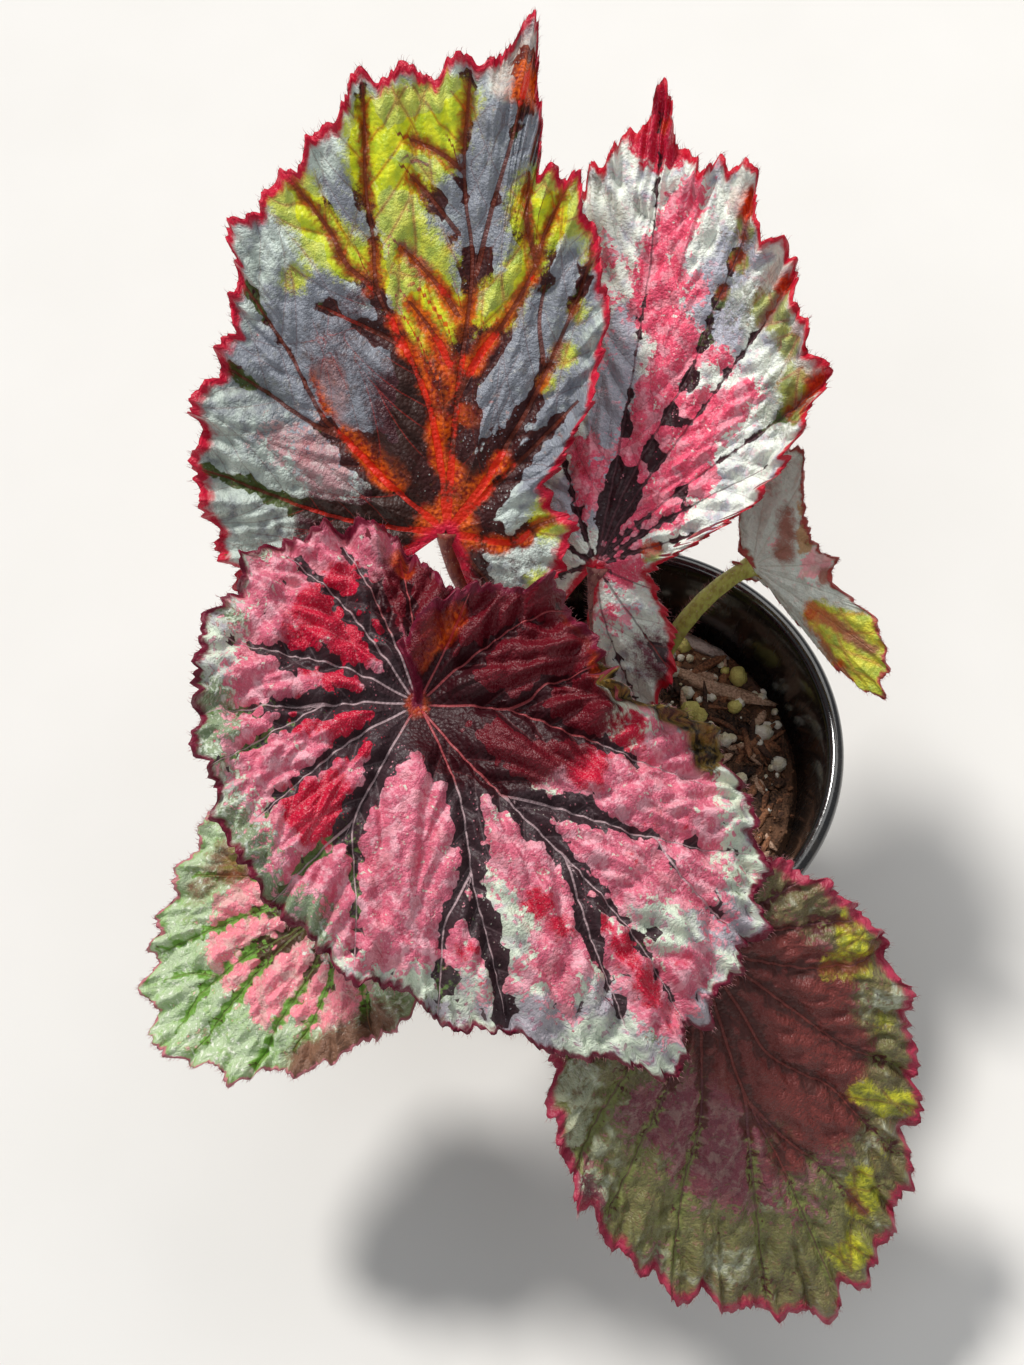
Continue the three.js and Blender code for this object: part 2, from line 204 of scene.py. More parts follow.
def swells(flat, size, draw):        # gentle random hills, mostly from -1 to 1
    total = np.zeros(flat.shape[:-1])
    for count in range(7):
        turn, start = draw.uniform(0, 2 * np.pi, 2)
        across = flat[..., 0] * np.cos(turn) + flat[..., 1] * np.sin(turn)
        total += np.sin(2 * np.pi * across / (size * draw.uniform(0.7, 1.5)) + start)
    return total / 4


def puffs(flat, size, seed):        # 0 at the edges of round cells of that size, 1 at their middles
    grid = flat / size
    base = np.floor(grid)
    nearest = np.full(flat.shape[:-1], 9.0)
    for stepX in (-1, 0, 1):
        for stepY in (-1, 0, 1):
            cell = base + (stepX, stepY)
            mixed = np.sin(cell[..., 0] * 127.1 + cell[..., 1] * 311.7 + seed) * 43758.5453
            other = np.sin(cell[..., 0] * 269.5 + cell[..., 1] * 183.3 + seed) * 43758.5453
            centre = cell + 0.15 + 0.7 * np.stack([mixed % 1, other % 1], -1)
            nearest = np.minimum(nearest, np.sum((grid - centre) ** 2, -1))
    return np.clip(1 - nearest * 1.6, 0, 1)


def quads(*corners):        # faces from four grids of corner numbers
    return np.stack(corners, -1).reshape(-1, 4).tolist()


def sleeve(index):        # faces between rings of corner numbers that close on themselves
    after = np.roll(index, -1, axis=1)
    return quads(index[:-1], after[:-1], after[1:], index[1:])


def lidded(rows, top, bottom):        # rings from a top point down to a bottom point, as points and faces
    count, sides = rows.shape[:2]
    index = 1 + np.arange(count * sides).reshape(count, sides)
    after = np.roll(index, -1, axis=1)
    faces = quads(index[:-1], index[1:], after[1:], after[:-1])
    points = np.concatenate([[top], rows.reshape(-1, 3), [bottom]])
    last = len(points) - 1
    faces += [[0, int(index[0, i]), int(after[0, i])] for i in range(sides)]
    faces += [[last, int(after[-1, i]), int(index[-1, i])] for i in range(sides)]
    return points, faces


def eased(f, start, end, startSlope, endSlope):        # a smooth curve from start to end, for f from 0 to 1
    return (start * (2 * f**3 - 3 * f**2 + 1) + startSlope * (f**3 - 2 * f**2 + f)
            + end * (3 * f**2 - 2 * f**3) + endSlope * (f**3 - f**2))


def smoothLine(corners, counts):        # a smooth line through corners, with that many points from each
    slopes = np.gradient(corners, axis=0)
    pieces = []
    for i, count in enumerate(counts):
        f = np.linspace(0, 1, count, endpoint=False)[:, None]
        pieces.append(eased(f, corners[i], corners[i + 1], slopes[i], slopes[i + 1]))
    return np.concatenate(pieces + [corners[-1:]])


def spin(first, second, turn):        # the turn that takes one axis towards another
    matrix = np.eye(3)
    matrix[first, first] = matrix[second, second] = math.cos(turn)
    matrix[second, first] = math.sin(turn)
    matrix[first, second] = -math.sin(turn)
    return matrix


def tube(centres, radii, sides):        # a closed tube round a line of points, as points and faces
    centres = np.asarray(centres, float)
    run = np.gradient(centres, axis=0)
    run /= np.linalg.norm(run, axis=1)[:, None]
    side = np.cross(run, (0.31, 0.9, 0.2))
    side /= np.linalg.norm(side, axis=1)[:, None]
    other = np.cross(run, side)
    turn = np.linspace(0, 2 * np.pi, sides, endpoint=False)
    around = np.cos(turn)[None, :, None] * side[:, None] + np.sin(turn)[None, :, None] * other[:, None]
    rings = centres[:, None] + np.asarray(radii)[:, None, None] * around
    index = np.arange(len(centres) * sides).reshape(len(centres), sides)
    faces = sleeve(index) + [index[0][::-1].tolist(), index[-1].tolist()]
    return rings.reshape(-1, 3), faces


# ---------- the leaves
# A leaf's rows run from one side of the notch at its base to the other, as angle from its heading,
# length, lift at the margin and extra angle at the root. Its veins are lines of angle and distance
# from the joint. A dab is angle, distance, radius and amount, and tints a soft round place.
# Some tints are painted light: a dark wine red, partly the leaf's own colour and partly painted shade, and
# yellow-green and orange painted as light shining through the blade.
blade = {
    "thickness": 0.75,
    "ribHeight": 1.0,        # of the main veins underneath
    "columns": 700,
    "rings": 66,
    "droopPower": 1.6,
    "rippleDepth": 0.02,
    "ripplesPerVein": 1.5,
    "tipPower": 1.5,
    "wideGap": 26,        # degrees between rows, from which the margin's bays have their full depth
    "innerShare": 0.012,        # where the first ring lies
    "ringPower": 0.88,        # below 1, so that rings lie closer towards the margin
    "mainLimit": 30.0,        # mm, up to which the distance to a main vein is measured
    "sideLimit": 9.0,
    "pleatWidth": 4.5, "creaseWidth": 1.6, "creaseFade": 7,
    "puffSize": 3.4, "swellSize": 9.0, "drySize": 5.0, "dryHeight": 2.6,
    "waveLengths": (17, 8.5, 4.6), "waveHeights": (0.8, 0.7, 0.4),
    "reachLengths": (10, 5.8), "reachHeights": (0.45, 0.4),
    "swayLengths": (23, 12), "swayHeights": (0.5, 0.4),
    "toothGap": 3.3, "fineToothGap": 1.35, "fineToothHeight": 0.3,
    "sideRibHeight": 0.22, "sideRibWidth": 0.5,
}
stalk = {
    "footHeight": 64,
    "rise": 32,
    "footRadius": 2.7,
    "topRadius": 2.1,
    "rings": 60,
    "sides": 20,
}

leaves = {}
leaves["leafFront"] = {
    "node": "leaf_front", "slot": "leaf_wine", "seed": 3,
    "joint": (-50, -14, 150), "heading": -55, "pitch": -10, "roll": 0,
    "foot": (-17, -8), "lead": (-3, 9, -22),
    "dome": 4, "pleat": 3.4, "ruffle": 2, "phase": 0.4, "lobe": 0.035, "tip": (8, 9),
    "rows": [
        (-238, 25, -7, 24), (-198, 43, 2, 8), (-168, 50, 3, 0), (-140, 52, 0, 0), (-115, 51, -4, 0),
        (-88, 53, -9, 0), (-51, 61, -17, 0), (-22, 75, -19, 16), (1, 93, -16, 4), (12, 97, -14, -4),
        (23, 95, -12, -10), (34, 87, -8, -10), (48, 71, -1, 0), (66, 45, 6, 0), (92, 40, 10, 0),
        (120, 26, 12, -6), (170, 11, 9, -22),
    ],
    "veins": [
        [(4, 2), (6, 15), (8.5, 29), (9.5, 40), (10.1, 50), (10.2, 64), (9.3, 78), (7.5, 97)],
        [(8.5, 29), (17.5, 37), (23, 48), (26, 58), (27.4, 62), (30, 72), (33, 84)],
        [(27.4, 62), (24, 70), (22.6, 80), (22, 88)],
        [(54, 3), (51.6, 20.7), (46, 32), (44, 42), (42, 54), (41, 68)],
        [(51.6, 20.7), (58, 26), (63.3, 29), (66, 42)],
        [(98, 3), (96, 12), (93, 28), (88, 39)],
        [(119, 3), (118, 12), (120, 24)],
        [(-198, 3), (-192, 20), (-190, 33), (-188, 44)],
        [(-214, 4), (-210, 20), (-207, 34)],
        [(-158, 3), (-148, 20), (-143, 34), (-142, 47)],
        [(-176, 3), (-177, 20), (-176, 32), (-172, 46)],
        [(-128, 3), (-121, 20), (-115, 28), (-109, 40), (-106, 50)],
        [(-121, 20), (-122, 34), (-122, 50)],
        [(-66, 3), (-63, 18), (-62, 30), (-55, 39), (-50, 48), (-47, 60)],
        [(-62, 30), (-68, 42), (-71, 56)],
        [(-96, 3), (-93, 18), (-90, 30), (-88, 46)],
        [(0, 3), (-8, 17), (-10, 24), (-14, 34), (-16.4, 43), (-16.5, 55), (-17, 71)],
        [(-16, 40), (-22, 45), (-26.4, 50), (-28, 60), (-29, 70)],
        [(10, 48), (6, 57), (2.5, 69), (0, 86)],
    ],
    "curls": [(57, 7, 0.7, 8, 9), (-30, 30, 0.8, -4, 1), (12, 20, 0.85, -3, 1)],
    "tints": {
        "pink": (0.0, [
            (-37, 30, 20, 1.3), (-36, 50, 10, 1.0), (2, 42, 7, 1.2), (2, 52, 7, 1.2), (0, 64, 7, 1.0),
            (18, 52, 8, 1.2), (17, 62, 8, 1.0), (30, 52, 9, 1.2), (34, 40, 8, 1.1), (36, 62, 9, 0.8),
            (6, 84, 5, 0.9), (13, 86, 5, 0.8), (6, 72, 6, 0.9), (24, 78, 6, 0.6), (-90, 25, 18, 1.1),
            (-70, 44, 9, 0.6), (-165, 28, 18, 1.1), (-138, 24, 12, 1.0), (85, 25, 25, 1.2),
            (-130, 36, 8, 0.6), (-200, 25, 20, 1.2), (-22, 56, 6, 0.8), (-20, 68, 5, 0.5),
            (48, 58, 8, 0.7), (30, 86, 5, 0.4), (-48, 54, 8, 0.6), (-104, 40, 8, 0.5),
            (-160, 42, 8, 0.5), (-182, 40, 8, 0.6), (6, 92, 7, 1.1), (6, 82, 7, 1.0), (14, 88, 6, 0.8),
            (-6, 66, 6, 0.9), (-7, 76, 5, 0.8), (24, 72, 8, 0.8), (34, 72, 8, 0.7), (22, 86, 5, 0.6),
            (-14, 66, 5, 0.6), (42, 66, 6, 0.6),
        ]),
        "crimson": (0.0, [
            (-93, 16, 6, 1.2), (-100, 12, 5, 1.0), (-75, 30, 7, 1.1), (-82, 36, 5, 0.8),
            (-167, 19, 6, 1.3), (-170, 29, 5.5, 1.1), (-3, 53, 4, 1.0), (-1, 60, 3.5, 0.9),
            (7, 72, 5, 0.9), (5.5, 84, 4, 0.8), (6, 64, 3, 0.8), (-22, 56, 4, 0.7), (33, 42, 5, 0.9),
            (40, 36, 6, 0.9), (-190, 22, 6, 0.8), (-136, 18, 5, 0.9), (-146, 28, 5, 0.6),
            (20, 62, 3, 0.5), (-182, 34, 4, 0.6), (48, 48, 6, 0.9), (-20, 64, 3, 0.6), (13, 84, 3, 0.6),
            (-162, 34, 7, 0.55), (-146, 30, 6, 0.45), (-184, 30, 7, 0.55), (-118, 24, 6, 0.6),
            (6, 92, 4, 0.6), (-112, 30, 5, 0.5), (28, 60, 4, 0.5), (6, 80, 4.5, 0.55), (33, 66, 4, 0.5),
            (-72, 38, 5, 0.6),
        ]),
        "wineAndShade": (0.0, [
            (80, 22, 22, 1.3), (64, 30, 14, 1.2), (120, 16, 18, 1.2), (-216, 26, 14, 1.1),
            (40, 14, 11, 1.1), (16, 10, 8, 0.7), (44, 24, 10, 1.1), (90, 36, 10, 1.1), (24, 24, 6, 0.8),
            (100, 30, 10, 0.8), (140, 20, 12, 0.9),
        ]),
        "glow": (0.0, []),
        "backlitOrange": (0.0, [
            (146, 8, 2.5, 0.8), (136, 12, 3, 1.0), (127, 16, 3.5, 1.1), (120, 20, 3, 0.8),
            (76, 42, 4, 1.3), (66, 44, 4, 1.3), (84, 39, 3, 0.8), (-206, 34, 3, 1.1),
            (-209, 31, 2.5, 0.8), (39, 78, 2.5, 0.9), (42, 73, 2.5, 0.8), (0, 0, 3.5, 1.0),
            (-232, 22, 2, 0.5), (45, 66, 2.5, 0.9),
        ]),
        "green": (0.0, [
            (-60, 50, 16, 0.9), (-72, 46, 10, 0.8), (-110, 42, 12, 0.9), (-150, 46, 10, 0.8),
            (-30, 66, 12, 0.6), (3, 92, 6, 0.8), (28, 84, 8, 0.7), (-90, 50, 8, 0.7), (-170, 48, 6, 0.7),
            (-8, 78, 8, 0.6), (12, 74, 5, 0.5), (-182, 47, 5, 0.6), (-124, 48, 8, 0.7),
        ]),
        "bare": (0.0, [
            (2, 12, 9, 0.4), (14, 26, 6, 0.4), (11, 38, 4, 0.4), (4.6, 62, 3, 0.7),
            (-16.5, 52, 3.5, 0.9), (-16, 60, 3, 0.8), (13, 75, 2.5, 0.8), (-10, 26, 4, 0.4),
            (-14, 38, 4, 0.4), (24, 44, 4, 0.3), (-62, 14, 6, 0.3), (-64, 28, 4, 0.35), (45, 24, 6, 0.3),
            (-178, 44, 3, 0.3), (-136, 30, 4, 0.4), (-190, 26, 4, 0.3), (-118, 20, 4, 0.4),
            (-24, 48, 3, 0.4), (80, 10, 6, 0.3), (-6, 80, 2.5, 0.6), (16, 84, 2.5, 0.5),
            (24, 82, 2.5, 0.5), (31, 70, 2.5, 0.6), (-26, 62, 3, 0.7), (-12, 70, 2.5, 0.5),
            (20, 70, 2, 0.5), (38, 68, 2.5, 0.4), (2, 68, 2, 0.5), (-11, 83, 5, 0.6), (-17, 73, 5, 0.6),
            (1, 82, 2.5, 0.6),
        ]),
        "grey": (0.0, [
            (8, 94, 8, 0.6), (22, 88, 7, 0.6), (-14, 78, 8, 0.7), (-30, 74, 6, 0.5), (0, 80, 5, 0.4),
        ]),
        "full": (0.0, [
            (23, 78, 7, 0.35), (33, 68, 7, 0.35), (41, 60, 7, 0.35), (14, 84, 5, 0.3), (0, 84, 6, 0.3),
        ]),
        "dry": (0.0, [(48, 66, 7, 1.3), (55, 60, 7, 1.3), (62, 52, 6.5, 1.3), (68, 47, 4, 1.0)]),
    },
    "look": {
        "ground": tone(60, 42, 47), "green": tone(92, 116, 62), "vein": tone(196, 168, 172),
        "pink": tone(212, 104, 128), "silver": tone(212, 224, 202), "silverToo": tone(166, 160, 168),
        "crimson": tone(192, 18, 54), "wineAndShade": tone(98, 8, 24), "glow": tone(150, 160, 30),
        "glowToo": tone(110, 120, 30), "backlitOrange": tone(206, 84, 18), "backlitOrangeToo": tone(128, 18, 14),
        "speckAndHighlight": tone(246, 208, 216), "margin": tone(112, 18, 46), "under": tone(120, 46, 60),
        "underVein": tone(176, 90, 88), "backlitAndShadedVein": tone(176, 44, 50), "islandTone": tone(156, 104, 126),
        "islands": 0.7, "moss": 0.75, "band": (3.0, -0.8), "sideBand": (-2.4, -1.0), "notch": 1.4,
        "wineAndShadeGround": tone(50, 5, 14), "veinLine": 0.8, "bareness": 7, "veinWidth": (0.26, 0.1),
        "sideLine": 0.1, "ragged": 2.0, "blur": 0.16, "rim": 2.0, "ruffle": 1.3, "tooth": 1.2,
        "crease": 2.7, "crumple": 1.8, "glitter": 0.35, "through": 0.5, "shine": 0.12,
    },
}
leaves["leafBacklit"] = {
    "node": "leaf_backlit", "slot": "leaf_silver", "seed": 8,
    "joint": (-44, 31, 150), "heading": 85, "pitch": 38, "roll": 0,
    "foot": (-9, 3), "lead": (-1, -8, -22),
    "dome": -3, "pleat": 2.2, "ruffle": 1.2, "phase": 1.1, "lobe": 0.035, "tip": (8, 23),
    "rows": [
        (-158, 19, -10, 0), (-122, 28, -6, 0), (-86, 30, -4, 0), (-60, 27, -2, 0), (-44, 51, 0, 4),
        (-28, 70, 0, 6), (-17, 86, 0, 5), (-11, 89, 0, 2), (-6, 100, 0, 0), (5, 105, 0, -4),
        (14, 105, 0, -6), (25, 92, -1, -5), (38, 86, -2, -5), (50, 70, -3, -3), (66, 67, -4, 0),
        (84, 62, -7, 0), (100, 57, -11, 0), (116, 54, -15, 0), (130, 41, -17, 0),
    ],
    "veins": [
        [(-1, 2), (-0.8, 22), (-1.5, 39), (-2.2, 56), (-1.5, 66), (0.4, 78), (0.8, 90), (0.6, 104)],
        [(5, 3), (9, 18), (12, 31), (16.5, 45), (19.5, 58), (17.6, 70), (16.8, 81), (15.5, 90), (14, 103)],
        [(19.5, 58), (24, 66), (24.5, 73), (26, 81), (28, 90)],
        [(58, 3), (55, 18), (52.6, 28), (51.7, 39), (48.3, 47), (45.6, 55), (44, 67), (43, 78)],
        [(52, 32), (56, 42), (57, 56), (58, 65)],
        [(98, 3), (91, 15), (88, 28), (84, 42), (81, 60)],
        [(-38, 3), (-34, 15), (-31, 25), (-30, 33), (-28.5, 42), (-27, 51), (-25.3, 64), (-23.4, 76)],
        [(-2, 33), (-7, 42), (-11, 49), (-13.6, 57), (-15, 66), (-14.6, 73), (-15.8, 87)],
        [(-14.8, 66), (-11, 74), (-9.5, 84)],
        [(-46, 3), (-43, 15), (-42, 30), (-41, 46)],
        [(-104, 3), (-97, 16), (-84, 21), (-78, 30)],
        [(-140, 3), (-140, 16), (-139, 24)],
        [(122, 3), (116, 20), (112, 40), (110, 54)],
        [(-3, 60), (-4.5, 76), (-6, 92), (-6.5, 108)],
        [(0.8, 83), (4, 86.5), (8.3, 90)],
        [(1.2, 69), (5, 75), (9, 82)],
        [(0.8, 51), (6, 58), (12, 66)],
        [(2, 39), (7, 46), (12.5, 54)],
        [(16, 44), (24, 50), (33, 60)],
        [(-26, 46), (-20, 54), (-18, 62)],
    ],
    "curls": [(-44, 7, 0.72, 6, 6), (-6, 5, 0.86, -9, 5)],
    "tints": {
        "pink": (0.04, [
            (62, 36, 8, 0.7), (66, 46, 6, 0.6), (74, 30, 7, 0.6), (84, 26, 7, 0.4), (-16, 32, 7, 0.25),
            (22, 52, 8, 0.2), (2, 70, 4, 0.2), (-58, 34, 5, 0.7),
        ]),
        "crimson": (0.0, []),
        "wineAndShade": (0.0, [
            (28, 26, 10, 0.7), (20, 36, 7, 0.6), (80, 14, 10, 0.8), (88, 32, 6, 0.5), (120, 30, 22, 0.7),
            (170, 12, 12, 0.8), (-110, 20, 8, 0.5), (-20, 14, 6, 0.7), (36, 50, 13, 0.55),
            (24, 58, 6, 0.4),
        ]),
        "glow": (0.0, [
            (12.5, 93, 8.8, 1.3), (14, 84, 6.2, 1.1), (5, 95, 8.1, 1.3), (5.5, 86, 6.2, 0.9),
            (26, 73, 6.2, 1.2), (27.8, 84, 6.2, 1.2), (22.5, 66, 5, 1.0), (11, 68, 7.5, 0.7),
            (9, 58, 7.5, 0.8), (7.5, 49, 7.5, 1.2), (15, 60, 3.8, 0.7), (3, 66, 5, 0.4),
            (-9, 54, 6.2, 1.2), (-13, 64, 5, 1.0), (-12.8, 78, 8.8, 1.2), (-16, 86, 7.5, 1.1),
            (-21, 80, 5, 0.8), (-29.5, 50, 3.8, 1.1), (-30, 42, 3.1, 0.9), (-27, 60, 3.8, 0.8),
            (-80, 25, 6.2, 1.2), (-116, 25, 3.8, 0.9), (35, 68, 4.4, 0.8), (12, 76, 6.2, 0.8),
            (-24, 72, 3.8, 0.6), (29, 91, 6.2, 1.0), (1, 100, 5, 0.6),
        ]),
        "backlitOrange": (0.0, [
            (0, 0, 8, 1.4), (46, 18, 4, 1.3), (49, 25, 4, 1.2), (53, 19, 3, 0.9), (7, 34, 4.5, 1.3),
            (8, 24, 4, 1.1), (8, 42, 4.5, 1.2), (-9, 28, 3.5, 1.0), (-3, 14, 4, 0.9), (-6, 40, 3.5, 1.1),
            (-33, 13, 3.5, 1.1), (-34, 21, 3.5, 1.1), (41, 46, 4.5, 1.3), (45, 40, 4, 1.1),
            (49, 32, 3.5, 1.0), (-103, 13, 3, 1.1), (-93, 19, 2.5, 1.1), (17.5, 50, 3, 0.9),
            (-9, 46, 3, 1.0), (28.5, 91, 2.5, 0.8), (12, 18, 3, 0.7), (17, 44, 3, 0.8),
            (-15, 90, 3, 0.7), (10, 100, 3, 0.6), (4, 56, 3, 0.7), (-16, 62, 2.5, 0.7),
            (3, 66, 2.5, 0.7), (22, 58, 2.5, 0.7), (14.5, 76, 2, 0.6), (-7, 112, 10, 1.4),
            (-7, 122, 10, 1.4), (-5, 104, 5, 0.8),
        ]),
        "green": (0.15, [
            (40, 75, 14, 0.8), (75, 55, 14, 1.0), (88, 44, 14, 1.0), (-4, 88, 10, 0.6),
            (-34, 56, 10, 0.8), (64, 60, 10, 0.9), (20, 84, 6, 0.6), (60, 50, 8, 0.7),
            (102, 50, 10, 1.0), (12, 76, 4, 0.6), (-20, 60, 5, 0.5),
        ]),
        "bare": (0.0, [
            (26, 22, 9, 1.0), (20, 32, 4, 0.8), (72, 10, 8, 0.6), (-60, 10, 8, 0.5), (118, 22, 10, 0.3),
            (150, 12, 10, 0.8), (-20, 12, 6, 0.6), (7, 24, 7, 1.0), (-8, 26, 5, 0.9), (50, 24, 4, 0.5),
            (8, 40, 6, 0.9), (14, 90, 6, 1.0), (27, 78, 5, 0.9), (-13, 74, 6, 0.9), (-10, 50, 4, 0.9),
            (24, 68, 4, 0.8), (5, 94, 6, 1.0), (-8, 42, 5, 0.8), (90, 22, 6, 0.8), (-34, 20, 4, 0.7),
            (-7, 118, 12, 1.2), (8, 50, 5, 0.8), (12.5, 82, 4, 0.8), (42, 47, 3, 0.5),
            (-6, 60, 2.5, 0.5),
        ]),
        "full": (0.0, [
            (-3, 72, 5, 1.0), (-3, 84, 5, 1.0), (-3, 96, 5, 1.0), (40, 54, 10, 0.5), (8, 68, 4.5, 0.8),
            (-16, 34, 6, 0.5), (58, 44, 8, 0.4), (9, 60, 3, 0.5), (20, 72, 3, 0.6), (-21, 52, 7, 0.8),
            (-44, 46, 8, 0.7), (-34, 62, 6, 0.6), (-56, 34, 6, 0.6),
        ]),
        "grey": (0.0, [
            (44, 50, 13, 1.0), (36, 34, 10, 1.0), (34, 60, 8, 0.8), (50, 36, 8, 0.8), (22, 50, 6, 0.6),
            (-20, 44, 12, 0.4), (-22, 62, 10, 0.5), (-4, 72, 9, 0.9), (-4, 90, 9, 0.8),
            (-40, 46, 9, 0.4), (8, 64, 7, 0.7), (20, 78, 6, 0.6), (-16, 30, 8, 0.7), (-55, 28, 8, 0.6),
        ]),
        "dry": (0.0, []),
    },
    "look": {
        "ground": tone(62, 24, 24), "green": tone(70, 84, 36), "vein": tone(104, 40, 22),
        "pink": tone(176, 132, 136), "silver": tone(208, 220, 212), "silverToo": tone(140, 144, 154),
        "crimson": tone(186, 22, 52), "wineAndShade": tone(70, 30, 36), "glow": tone(212, 214, 40),
        "glowToo": tone(158, 176, 40), "backlitOrange": tone(214, 92, 12), "backlitOrangeToo": tone(126, 20, 8),
        "speckAndHighlight": tone(196, 204, 200), "margin": tone(196, 22, 54), "under": tone(128, 60, 56),
        "underVein": tone(178, 92, 78), "backlitAndShadedVein": tone(206, 30, 12), "islandTone": tone(150, 150, 146),
        "islands": 0.4, "moss": 0.2, "band": (3.2, 0.9), "sideBand": (-2.4, -1.4), "notch": 1.1,
        "wineAndShadeGround": tone(52, 26, 20), "veinLine": 0.85, "bareness": 6, "veinWidth": (0.6, 0.3),
        "sideLine": 0.3, "ragged": 1.3, "blur": 0.2, "rim": 3.2, "ruffle": 1.2, "tooth": 1.3,
        "crease": 1.3, "crumple": 0.9, "glitter": 0.25, "through": 0.85, "shine": 0.26,
    },
}
